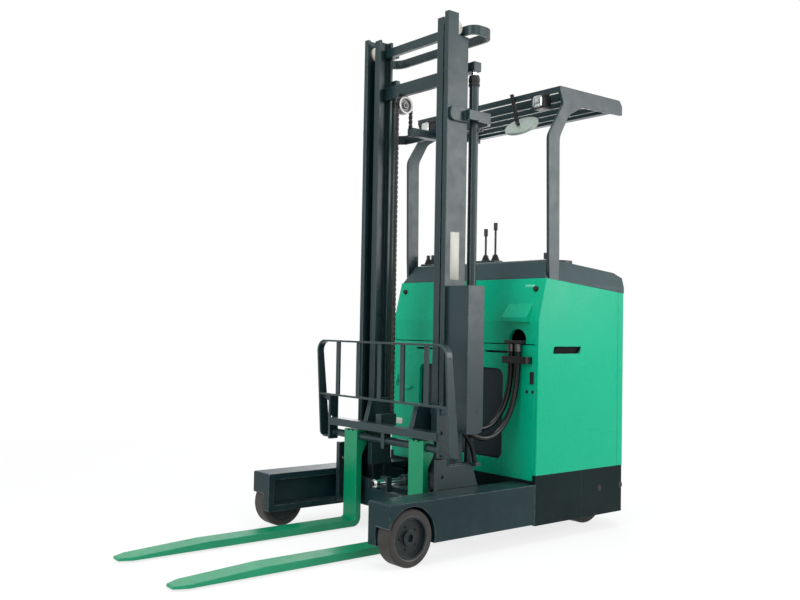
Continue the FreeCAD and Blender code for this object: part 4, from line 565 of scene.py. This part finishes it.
tyre_rubber = finish("tyre_rubber", TYRE, TYRE_DUSTY, (0.08, 0.075, 0.07, 1), 0.58, grain=320.0, depth=0.25,
                     wear_and_highlight=0.4, radius=0.003, specular=0.25, dust=0.3)
dress(tyre_rubber, "load_left_tyre", "load_right_tyre", "drive_tyre", "caster_wheels")
hub_paint = finish("hub_enamel", (0.008, 0.014, 0.016, 1), (0.006, 0.010, 0.012, 1), (0.10, 0.11, 0.11, 1),
                   0.4, specular=0.25)
dress(hub_paint, "load_left_hub", "load_right_hub", "drive_hub")
for side, sign in (("left", 1), ("right", -1)):
    low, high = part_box("load_%s_hub" % side)
    middle = (np.array(low) + np.array(high)) / 2
    rim = (high[2] - low[2]) / 2
    profile = [(-0.003, rim - 0.004, 0), (0.0008, rim - 0.004, 0), (0.0016, rim - 0.0015, 0),
               (0.0008, rim + 0.0015, 0), (-0.003, rim + 0.0015, 0)]
    points, faces = spun(profile, RING_AROUND)
    # The ring has no caps: quads join its last circle back to its first.
    turn = np.arange(RING_AROUND)
    after, last = (turn + 1) % RING_AROUND, (len(profile) - 1) * RING_AROUND
    back = np.stack([turn, after, last + after, last + turn], axis=1).tolist()
    outward = high[1] if sign > 0 else low[1]
    points, faces = repeated(points, inside_out(faces[:-2]) + back, [(middle[0], outward, middle[2])],
                             [stood((0, sign, 0))])
    piece("load_%s_ring" % side, points, faces, plated_steel, "load_wheel_" + side)
    seats = [seat("load_%s_hub" % side, (middle[0] + SCREW_CIRCLE * math.cos(turn), sign * 0.7,
                                         middle[2] + SCREW_CIRCLE * math.sin(turn)), (0, -sign, 0))
             for turn in np.arange(SCREWS) * 2 * np.pi / SCREWS]
    screw = [(-0.001, 0.006, 0), (0.0035, 0.006, 0), (0.0045, 0.0052, 0), (0.0045, 0.003, 1),
             (0.0015, 0.003, 1)]
    studs("load_%s_screws" % side, seats, screw, soft_black, "load_wheel_" + side)


# ---------------------------------------------------------------- masts, carriage and reach frame
# Two nested stages of hot-rolled channel with welded ties, in a smooth slate enamel. The outer one stands on
# the reach carriage, the inner one slides in it, and the fork carriage slides in the inner one.
mast_paint = finish("mast_enamel", SLATE, SLATE_DARK, SLATE_RUBBED, 0.34, grain=600.0, depth=0.08, wear_and_highlight=0.6,
                    specular=0.38)
dress(mast_paint, "outer_mast", "inner_mast", "inner_mast_ties", "mast_tie", "mast_side_cover",
      "lift_barrels", "reach_carriage", "fork_carriage", "load_backrest", "overhead_guard",
      "reach_cylinder_barrel")
roller_nylon = finish("roller_nylon", (0.62, 0.60, 0.54, 1), (0.50, 0.48, 0.42, 1), (0.7, 0.68, 0.62, 1),
                      0.42, grain=300.0, depth=0.05, dust=0.2)
dress(roller_nylon, "guide_rollers")
steel = finish("ground_steel", (0.42, 0.42, 0.41, 1), (0.30, 0.30, 0.30, 1), (0.6, 0.6, 0.6, 1), 0.34,
               metal=1.0, grain=300.0, depth=0.1)
dress(steel, "reach_rollers")
chrome = finish("hard_chrome", (0.72, 0.73, 0.74, 1), (0.66, 0.67, 0.68, 1), (0.8, 0.8, 0.8, 1), 0.14, 0.04,
                metal=1.0, grain=300.0, depth=0.02, dust=0.0)
dress(chrome, "lift_rods", "reach_cylinder_rod")

PLATE = (0.56, 0.56, 0.50, 1)
PLATE_AROUND = 32
sign_white = finish("blank_plate", PLATE, (0.50, 0.50, 0.45, 1), (0.7, 0.7, 0.66, 1), 0.45, grain=200.0,
                    depth=0.04, wear_and_highlight=0.4, dust=0.4)


def rounded_plate(name, node, middle, towards, wide, tall, thick, corner, material, body):
    """A flat plate with round corners laid on a surface: its outline is an oblong whose corners are arcs, in
    two steps so that its front edge is eased."""
    point, normal = seat(node, middle, towards)
    turn = even_turns(PLATE_AROUND)
    rim = np.stack([np.clip(1e6 * np.cos(turn), -1, 1) * (wide / 2 - corner) + corner * np.cos(turn),
                    np.clip(1e6 * np.sin(turn), -1, 1) * (tall / 2 - corner) + corner * np.sin(turn)], axis=1)
    rows = []
    for height, shrink in ((-0.0006, 0.0), (thick * 0.7, 0.0), (thick, thick * 0.4)):
        share = 1 - 2 * shrink / np.array([wide, tall])
        rows.append(np.column_stack([rim * share, np.full(PLATE_AROUND, height)]))
    faces = rows_of_rings(len(rows), PLATE_AROUND)
    points, faces = repeated(np.concatenate(rows), faces, [point], [stood(normal)])
    return piece(name, points, faces, material, body)


rounded_plate("mast_plate", "outer_mast", (-0.142, 0.7, 1.400), (0, -1, 0), 0.060, 0.235, 0.0010, 0.004,
              sign_white, "reach_mast")

# Lift cylinder heads: grooved gland nuts, and a dark steel pipe union high on each barrel.
low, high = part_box("lift_barrels")
for side in (1, -1):
    centre = np.array([(low[0] + high[0]) / 2, side * (high[1] - 0.024), high[2]])
    nut = [(-0.052, 0.0242, 0), (-0.052, 0.0285, 0), (-0.040, 0.0285, 0), (-0.038, 0.0262, 0),
           (-0.032, 0.0262, 0), (-0.030, 0.0285, 0), (-0.012, 0.0285, 0), (-0.010, 0.0265, 0),
           (0.001, 0.0255, 0), (0.002, 0.0160, 0)]
    points, faces = spun(nut, 32)
    piece("lift_gland_%s" % ("left" if side > 0 else "right"), points + centre, faces, soft_black,
          "reach_mast")
UNION_HEIGHT = 2.040
union_x = (low[0] + high[0]) / 2 - 0.012
unions = [seat("lift_barrels", (union_x, side * 0.7, UNION_HEIGHT), (0, -side, 0)) for side in (1, -1)]
union = [(-0.004, 0.009, 0), (0.002, 0.009, 0), (0.002, 0.0115, 1), (0.010, 0.0115, 1),
         (0.010, 0.007, 0), (0.018, 0.007, 0), (0.018, 0.0095, 1), (0.024, 0.0095, 1)]
studs("lift_unions", unions, union, plated_steel, "reach_mast")


# ---------------------------------------------------------------- lift chains and sheave
# Leaf chain: rows of steel plates on riveted pins, oiled nearly black. It runs from the carriage over a
# dished sheave at the inner mast's head and down to the outer mast's tie, and its runs lengthen and shorten.
PITCH = 0.0127
PLATE_REACH = 0.0046
PLATE_HALF = 0.0011
WIDE_ROWS = (-0.0098, -0.0074, 0.0, 0.0074, 0.0098)
NARROW_ROWS = (-0.0050, -0.0026, 0.0026, 0.0050)
WEB_OUTER = (0.0375, 0.0385)
WEB_INNER = (0.0125, 0.0135)
chain_steel = finish("oiled_chain", (0.035, 0.035, 0.033, 1), (0.015, 0.015, 0.015, 1), (0.22, 0.22, 0.21, 1),
                     0.36, metal=0.7, radius=0.0012, wear_and_highlight=0.5, dust=0.0)


def chain_run(name, spots, turns, body):
    """Links along a run: each link is plates and a pin, set at its spot and turned about Y by its angle. A
    plate's outline is two half circles a pitch apart, and every other link has its plates inside the
    outer ones of its neighbours."""
    turn = np.linspace(-np.pi / 2, np.pi / 2, 5)
    end = np.stack([PLATE_REACH * np.sin(turn), PITCH / 2 + PLATE_REACH * np.cos(turn)], axis=1)
    rim = np.concatenate([end, -end])
    plate = np.concatenate([np.column_stack([rim[:, 0], np.full(len(rim), face), rim[:, 1]])
                            for face in (-PLATE_HALF, PLATE_HALF)])
    faces = rows_of_rings(2, len(rim))
    pin, pin_faces = spun([(-0.0125, 0.0021, 0), (0.0125, 0.0021, 0)], 8)
    pin = pin @ stood((0, 1, 0)).T + np.array([0, 0, PITCH / 2])
    frames = np.zeros((len(spots), 3, 3))
    frames[:, 0, 0] = frames[:, 2, 2] = np.cos(turns)
    frames[:, 0, 2], frames[:, 2, 0], frames[:, 1, 1] = np.sin(turns), -np.sin(turns), 1.0
    batches = []
    for first, rows in ((0, WIDE_ROWS), (1, NARROW_ROWS)):
        shifts = [(0, row, 0) for row in rows]
        shape, shape_faces = repeated(plate, faces, shifts, [np.eye(3)] * len(rows))
        batches.append(repeated(shape, shape_faces, spots[first::2], frames[first::2]))
    batches.append(repeated(pin, pin_faces, spots, frames))
    all_faces, count = [], 0
    for more, more_faces in batches:
        all_faces += [[corner + count for corner in face] for face in more_faces]
        count += len(more)
    return piece(name, np.concatenate([more for more, more_faces in batches]), all_faces, chain_steel, body)


def straight_run(name, x, out, foot, head):
    """A chain's straight run: links set a pitch apart up one upright line."""
    heights = np.arange(foot + PITCH / 2, head, PITCH)
    spots = np.stack([np.full(len(heights), x), np.full(len(heights), out), heights], axis=1)
    return chain_run(name, spots, np.zeros(len(heights)), None)


low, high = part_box("chain_front")
rear_low, rear_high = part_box("chain_rear")
wheel_low, wheel_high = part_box("chain_sheave")
hub = (np.array(wheel_low) + np.array(wheel_high)) / 2
out = (low[1] + high[1]) / 2
front_x, rear_x = (low[0] + high[0]) / 2, (rear_low[0] + rear_high[0]) / 2
front_run = straight_run("chain_front_links", front_x, out, low[2], hub[2])
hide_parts("chain_front")
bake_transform(front_run)
rear_run = straight_run("chain_rear_links", rear_x, out, rear_low[2], hub[2])
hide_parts("chain_rear")
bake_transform(rear_run)
middle_x, wrap = (front_x + rear_x) / 2, (front_x - rear_x) / 2
angle = np.arange(0.5, int(np.pi * wrap / PITCH)) * PITCH / wrap
over = np.stack([middle_x + wrap * np.cos(angle), np.full(len(angle), out), hub[2] + wrap * np.sin(angle)],
                axis=1)
chain_run("chain_wrap_links", over, -angle, "inner_stage")


def sheave_rings(tree):
    """Turned rings on the sheave's face: a dark dished web between the bright rim and the bright hub, by the
    distance from the axle."""
    place = tree.nodes.new("ShaderNodeTexCoord").outputs["Object"]
    from_axle = tree.nodes.new("ShaderNodeVectorMath")
    from_axle.operation = "SUBTRACT"
    link(tree, place, from_axle.inputs[0])
    from_axle.inputs[1].default_value = tuple(hub)
    flat = tree.nodes.new("ShaderNodeVectorMath")
    flat.operation = "MULTIPLY"
    link(tree, from_axle.outputs[0], flat.inputs[0])
    flat.inputs[1].default_value = (1, 0, 1)
    away = tree.nodes.new("ShaderNodeVectorMath")
    away.operation = "LENGTH"
    link(tree, flat.outputs[0], away.inputs[0])
    inside = remap(tree, away.outputs["Value"], *WEB_OUTER, 1.0, 0.0)
    outside = remap(tree, away.outputs["Value"], *WEB_INNER)
    web = maths(tree, "MULTIPLY", inside, outside)
    return maths(tree, "MULTIPLY", away.outputs["Value"], 4.0), web


sheave_steel = finish("sheave_steel", (0.42, 0.42, 0.41, 1), (0.36, 0.36, 0.35, 1), (0.60, 0.60, 0.59, 1),
                      0.38, metal=0.5, grain=300.0, depth=0.1, dust=0.0, drawn=sheave_rings)
dress(sheave_steel, "chain_sheave")


# ---------------------------------------------------------------- green panels
# Pressed steel covers over the battery and the drive, sprayed with a glossy teal-green enamel. A door's seam
# shows near the side sheets' rear edge as a narrow valley, with painted shade drawn in it as a fine dark
# line.
GREEN = (0.0, 0.385, 0.210, 1)
GREEN_DEEP = (0.0, 0.345, 0.185, 1)
GREEN_RUBBED = (0.06, 0.62, 0.44, 1)
SEAM_X = -1.160
SEAM_EDGE = (0.0012, 0.0028)


def door_seam(tree):
    """A pressed seam down the side sheet: a narrow valley in x, darkened along it with painted shade."""
    off = maths(tree, "ABSOLUTE", maths(tree, "SUBTRACT", parted_place(tree)["X"], SEAM_X))
    valley = remap(tree, off, *SEAM_EDGE, 1.0, 0.0)
    return maths(tree, "MULTIPLY", valley, -3.0), maths(tree, "MULTIPLY", valley, 0.75)


green_paint = finish("green_enamel", GREEN, GREEN_DEEP, GREEN_RUBBED, 0.30, grain=260.0, depth=0.03,
                     radius=0.006, wear_and_highlight=0.4, patch=0.9, specular=0.15, dust=0.03)
seamed_green = finish("seamed_green", GREEN, GREEN_DEEP, GREEN_RUBBED, 0.30, grain=260.0, depth=0.06,
                      radius=0.006, wear_and_highlight=0.4, patch=0.9, specular=0.15, dust=0.03, drawn=door_seam)
dress(green_paint, "front_panel_lower", "front_panel_upper", "drive_housing")
dress(seamed_green, "side_panel_left", "side_panel_right")

BACK = (-1, 0, 0)        # the way in to the front sheets
knobs = [seat("front_panel_upper", (0.5, side * 0.492, 1.252), BACK) for side in (1, -1)]
knob = [(-0.001, 0.015, 0), (0.002, 0.015, 0), (0.002, 0.013, 1), (0.012, 0.013, 1),
        (0.0135, 0.0115, 1), (0.0135, 0.004, 0), (0.011, 0.0035, 0)]
studs("panel_knobs", knobs, knob, soft_black, "chassis")
holes = [seat("front_panel_lower", (0.5, out, 0.737), BACK) for out in (0.476, 0.512)]
grommet = [(-0.001, 0.009, 0), (0.0008, 0.009, 0), (0.0008, 0.006, 0), (0.0003, 0.0055, 0)]
studs("panel_holes", holes, grommet, soft_black, "chassis", 20)
rounded_plate("panel_socket", "front_panel_lower", (0.5, 0.507, 0.806), BACK, 0.026, 0.062, 0.003, 0.004,
              soft_black, "chassis")
pale_green = finish("pale_plate", (0.10, 0.55, 0.33, 1), (0.08, 0.50, 0.30, 1), (0.3, 0.7, 0.5, 1), 0.4,
                    dust=0.2)
rounded_plate("panel_plate", "front_panel_upper", (0.5, 0.447, 1.268), BACK, 0.062, 0.013, 0.001, 0.003,
              pale_green, "chassis")
rounded_plate("sill_plate", "front_panel_lower", (0.5, -0.478, 0.504), BACK, 0.052, 0.034, 0.001, 0.004,
              sign_white, "chassis")

# Latches of the front sheet: a turned lever on a rosette, on the right-hand side.
LEVER_ROWS, LEVER_AROUND = 13, 16
rosette = [(-0.001, 0.015, 0), (0.003, 0.015, 0), (0.005, 0.012, 0), (0.015, 0.008, 0)]
for number, (out, height, lean) in enumerate(((-0.492, 0.742, 1.35), (-0.405, 0.700, 0.12))):
    point, normal = seat("front_panel_lower", (0.5, out, height), BACK)
    run = np.linspace(-0.034, 0.034, LEVER_ROWS)
    line = np.stack([np.full(LEVER_ROWS, 0.016), run, 0 * run], axis=1)
    across = 0.0075 * np.sqrt(np.clip(1 - (run / 0.0365) ** 8, 0.02, 1))
    turn = even_turns(LEVER_AROUND)
    oval = np.stack([0.7 * np.cos(turn), 0 * turn, np.sin(turn)], axis=1)
    rings = line[:, None, :] + across[:, None, None] * oval
    tilt = np.array([[1, 0, 0], [0, math.cos(lean), -math.sin(lean)], [0, math.sin(lean), math.cos(lean)]])
    points = rings.reshape(-1, 3) @ tilt.T + point
    faces = inside_out(rows_of_rings(LEVER_ROWS, LEVER_AROUND))
    piece("latch_lever_%d" % number, points, faces, green_paint, "chassis")
    studs("latch_rosette_%d" % number, [(point, normal)], rosette, green_paint, "chassis", 24)

# The side sheet's hand grip is lined with a black moulded cup, drawn darker than black plastic as painted
# shade in its hollow. Its rings are the leaning outline's back, its rim, the rim's inner edge and the cup's
# floor.
GRIP = np.array([(-0.821, 0.9295), (-0.8465, 0.9628), (-0.655, 0.9628), (-0.6275, 0.9295)])
grip_in = GRIP.mean(axis=0) + (GRIP - GRIP.mean(axis=0)) * (0.97, 0.86)
cup = [np.column_stack([ring[:, 0], np.full(4, out), ring[:, 1]])
       for ring, out in ((GRIP, 0.5345), (GRIP, 0.5442), (grip_in, 0.5442), (grip_in, 0.5360))]
grip_shade_black = finish("grip_shade_black", (0.002, 0.002, 0.002, 1), (0.0015, 0.0015, 0.0015, 1),
                    (0.004, 0.004, 0.004, 1), 0.6, specular=0.08, dust=0.0)
piece("grip_cup", np.concatenate(cup), rows_of_rings(4, 4), grip_shade_black, "chassis")

# Rear housing: pressed cooling louvres in two columns on the closed rear sheet. Each is a lip's profile
# of (x, z), drawn out sideways and flattened at both ends.
low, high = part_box("drive_housing")
LOUVRE_LIP = np.array([(0.001, 0.000), (-0.001, 0.001), (-0.0030, 0.001), (-0.0035, -0.001), (-0.001, -0.014),
                       (0.001, -0.015)])
LOUVRE_SPAN = ((-0.07, 0.15), (-0.067, 1.0), (0.067, 1.0), (0.07, 0.15))
LOUVRE_COLUMNS, LOUVRE_ROWS = 2, 7
LOUVRE_FOOT, LOUVRE_PITCH = 0.62, 0.036
LOUVRE_SIDE, LOUVRE_APART = 0.095, 0.165
spots = [(low[0] + 0.0004, low[1] + LOUVRE_SIDE + LOUVRE_APART * column, LOUVRE_FOOT + LOUVRE_PITCH * row)
         for column in range(LOUVRE_COLUMNS) for row in range(LOUVRE_ROWS)]
louvre = np.concatenate([np.column_stack([LOUVRE_LIP[:, 0] * share, np.full(len(LOUVRE_LIP), out),
                                          LOUVRE_LIP[:, 1]])
                         for out, share in LOUVRE_SPAN])
louvre_faces = inside_out(rows_of_rings(len(LOUVRE_SPAN), len(LOUVRE_LIP)))
louvres, louvre_faces = repeated(louvre, louvre_faces, spots, [np.eye(3)] * len(spots))
piece("rear_louvres", louvres, louvre_faces, green_paint, "chassis")


# ---------------------------------------------------------------- forks
# Forged steel forks, painted green over mill scale and scuffed along the blades' top where pallets slide.
# They stand at the front of the fork carriage.
FORK_GREEN = (0.0, 0.255, 0.115, 1)
FORK_DEEP = (0.0, 0.205, 0.090, 1)
FORK_RUBBED = (0.10, 0.52, 0.34, 1)

fork_paint = finish("fork_enamel", FORK_GREEN, FORK_DEEP, FORK_RUBBED, 0.36, grain=180.0, depth=0.18,
                    radius=0.005, wear_and_highlight=0.7, patch=5.0, specular=0.35, dust=0.06)
dress(fork_paint, "fork_left", "fork_right")


# ---------------------------------------------------------------- hood, steering wheel and levers
# One moulded cover in dark slate plastic with a fine leather-like grain, and black moulded controls. A ribbed
# rubber boot closes the hood round each lever's foot.
HOOD = (0.012, 0.040, 0.044, 1)
HOOD_DARK = (0.009, 0.031, 0.035, 1)
HOOD_RUBBED = (0.05, 0.07, 0.075, 1)

hood_plastic = finish("hood_plastic", HOOD, HOOD_DARK, HOOD_RUBBED, 0.50, grain=900.0, depth=0.3,
                      radius=0.010, wear_and_highlight=0.3, specular=0.40)
dress(hood_plastic, "hood")
black_plastic = finish("black_plastic", (0.010, 0.010, 0.011, 1), (0.007, 0.007, 0.008, 1),
                       (0.05, 0.05, 0.05, 1), 0.38, grain=800.0, depth=0.15, wear_and_highlight=0.3, specular=0.4)
dress(black_plastic, "steering_wheel", "control_levers", "work_lamps", "mirror_arm", "hose_clamps")

# The bellows' radius falls towards the top, and swings in and out every two rings.
low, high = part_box("control_levers")
lever_x = (low[0] + high[0]) / 2
lever_outs = (high[1] - 0.011, 0.0, low[1] + 0.011, low[1] + 0.051)
bellows = [(0.0022 * ring, 0.024 - 0.0008 * ring + (0.0022 if ring % 4 < 2 else -0.0010), 0)
           for ring in range(17)]
boots = [seat("hood", (lever_x + 0.016, out, high[2]), (0, 0, -1)) for out in lever_outs]
boots = [(np.array([lever_x, point[1], point[2] - 0.002]), (0, 0, 1)) for point, normal in boots]
boot_rubber = finish("boot_rubber", (0.009, 0.009, 0.009, 1), (0.014, 0.014, 0.014, 1), (0.04, 0.04, 0.04, 1),
                     0.6, grain=600.0, depth=0.2, specular=0.3)
studs("lever_boots", boots, bellows, boot_rubber, "chassis", 24)


# ---------------------------------------------------------------- overhead guard, lamps and mirror
# The guard is one welded frame. Its two work lamps have a bright domed lens in a square black bezel, and a
# round convex mirror hangs from its front bar, the whole of it drawn in one pale grey-green matte colour.
LAMP_AROUND = 48

mirror_shell = finish("mirror_shell", (0.28, 0.34, 0.30, 1), (0.23, 0.29, 0.25, 1), (0.42, 0.47, 0.43, 1),
                      0.35, grain=500.0, depth=0.06, patch=6.0)
dress(mirror_shell, "mirror")
lamp_glass = finish("lamp_glass", (0.62, 0.65, 0.63, 1), (0.50, 0.54, 0.52, 1), (0.8, 0.8, 0.8, 1), 0.16,
                    0.06, metal=0.85, grain=120.0, depth=0.5, patch=40.0, coat=0.6, dust=0.0)


def rounded_square(turn, power):
    """A square of half width 1 with round corners, as two rows: r (cos t, sin t), where r is
    (|cos t|^power + |sin t|^power)^(-1/power)."""
    reach = (np.abs(np.cos(turn)) ** power + np.abs(np.sin(turn)) ** power) ** (-1 / power)
    return reach * np.cos(turn), reach * np.sin(turn)


low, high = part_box("work_lamps")
half, lamp_out = (high[2] - low[2]) / 2, high[1] - 0.042
wide, tall = rounded_square(even_turns(LAMP_AROUND), 5)
bezel = ((-0.004, 0.99), (0.003, 0.99), (0.005, 0.95), (0.005, 0.86), (0.001, 0.83))
lens = ((-0.002, 0.84), (0.0015, 0.84), (0.0040, 0.70), (0.0055, 0.45), (0.0062, 0.20), (0.0064, 0.03))
for side, sign in (("left", 1), ("right", -1)):
    centre = np.array([high[0], sign * lamp_out, (low[2] + high[2]) / 2])
    for label, steps, material in (("bezel", bezel, soft_black), ("lens", lens, lamp_glass)):
        rings = [np.stack([np.full(LAMP_AROUND, depth), share * half * wide, share * half * tall], 1)
                 for depth, share in steps]
        piece("lamp_%s_%s" % (label, side), np.concatenate(rings) + centre,
              rows_of_rings(len(steps), LAMP_AROUND), material, "chassis")


# ---------------------------------------------------------------- battery and stand-in place
# A steel-cased battery stands behind the front sheet's window. The operator has a ribbed rubber mat and a
# padded side rest in black vinyl, with sewn piping.
RIB_TURN = 698.0         # radians per metre: a rib every 9 mm
REST_AROUND, REST_ROWS, PIPING_AROUND = 64, 15, 10
REST_SWELL = 0.006
PIPING_RADIUS = 0.0026

battery_paint = finish("battery_enamel", (0.016, 0.028, 0.036, 1), (0.011, 0.021, 0.028, 1),
                       (0.10, 0.12, 0.12, 1), 0.45, specular=0.25)
dress(battery_paint, "battery")


def mat_ribs(tree):
    """Round ribs across the mat, 9 mm apart: a sine along x, with painted shade darkening the troughs."""
    wave = maths(tree, "SINE", maths(tree, "MULTIPLY", parted_place(tree)["X"], RIB_TURN))
    return maths(tree, "MULTIPLY", wave, 2.0), remap(tree, wave, -1.0, 0.2, 0.8, 0.0)


mat_rubber = finish("mat_rubber", (0.016, 0.016, 0.017, 1), (0.022, 0.022, 0.022, 1), (0.05, 0.05, 0.05, 1),
                    0.65, depth=0.5, specular=0.3, drawn=mat_ribs)
dress(mat_rubber, "floor_mat")
pad_vinyl = finish("pad_vinyl", (0.012, 0.012, 0.013, 1), (0.017, 0.017, 0.018, 1), (0.05, 0.05, 0.05, 1),
                   0.42, grain=700.0, depth=0.35, specular=0.4)


def padded_rest():
    """The side rest: a rounded slab filled by cloth pressure over its board, with sewn piping round its edge.
    The slab's outline is a rounded square, and its thickness falls to the seam as the fourth root does."""
    low, high = (np.array(corner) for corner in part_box("side_pad"))
    middle, half = (low + high) / 2, (high - low) / 2 - np.array([0.006, 0.005, 0.006])
    wide, tall = rounded_square(even_turns(REST_AROUND), 6)
    lift = np.linspace(-1, 1, REST_ROWS)
    share = (1 - np.abs(lift) ** 4 * 0.9999) ** 0.25
    rings = np.stack([np.stack([half[0] * part * wide, np.full(REST_AROUND, half[1] * rise),
                                half[2] * part * tall], 1) for part, rise in zip(share, lift)])
    faces = inside_out(rows_of_rings(REST_ROWS, REST_AROUND))
    pad = piece("side_rest", rings.reshape(-1, 3) + middle, faces, pad_vinyl, None, 80.0)
    bpy.context.view_layer.objects.active = pad
    start = pad.modifiers.new("remesh", "REMESH")
    start.mode = "VOXEL"
    start.voxel_size = 0.005
    bpy.ops.object.modifier_apply(modifier="remesh")
    before = np.empty(len(pad.data.vertices) * 3)
    pad.data.vertices.foreach_get("co", before)
    before = before.reshape(-1, 3)
    cloth = pad.modifiers.new("cloth", "CLOTH")
    cloth.settings.use_pressure = True
    cloth.settings.uniform_pressure_force = 4.0
    cloth.settings.effector_weights.gravity = 0.0
    for step in range(1, 21):
        bpy.context.scene.frame_set(step)
    bpy.ops.object.modifier_apply(modifier="cloth")
    bpy.context.scene.frame_set(1)
    after = np.empty(len(pad.data.vertices) * 3)
    pad.data.vertices.foreach_get("co", after)
    moved = after.reshape(-1, 3) - before
    far = np.linalg.norm(moved, axis=1)[:, None]
    settled = before + moved * np.minimum(1.0, REST_SWELL / np.maximum(far, 1e-9))
    settled = np.clip(settled, low - 0.002, high + 0.002)
    pad.data.vertices.foreach_set("co", settled.ravel())
    pad.data.update()
    smooth = pad.modifiers.new("smooth", "SUBSURF")
    smooth.levels = smooth.render_levels = 1
    pad.data.polygons.foreach_set("use_smooth", np.ones(len(pad.data.polygons), bool))
    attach(pad, "chassis")
    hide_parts("side_pad")

    # The piping: a closed ring of circles round the seam, each of them across the seam's own run.
    loop = np.stack([(half[0] + 0.004) * wide, (half[2] + 0.004) * tall], 1)
    run = np.roll(loop, -1, axis=0) - np.roll(loop, 1, axis=0)
    run /= np.linalg.norm(run, axis=1)[:, None]
    rings = np.stack([np.stack([loop[:, 0] + PIPING_RADIUS * np.cos(angle) * run[:, 1],
                                np.full(REST_AROUND, PIPING_RADIUS * math.sin(angle)),
                                loop[:, 1] - PIPING_RADIUS * np.cos(angle) * run[:, 0]], 1)
                      for angle in even_turns(PIPING_AROUND)], axis=1)
    row, column = np.arange(REST_AROUND)[:, None], np.arange(PIPING_AROUND)
    here, after = row * PIPING_AROUND, (row + 1) % REST_AROUND * PIPING_AROUND
    beside = (column + 1) % PIPING_AROUND
    faces = np.stack([here + column, here + beside, after + beside, after + column], axis=-1).reshape(-1, 4)
    piece("side_rest_piping", rings.reshape(-1, 3) + middle, faces.tolist(), pad_vinyl, "chassis",
          80.0)


padded_rest()
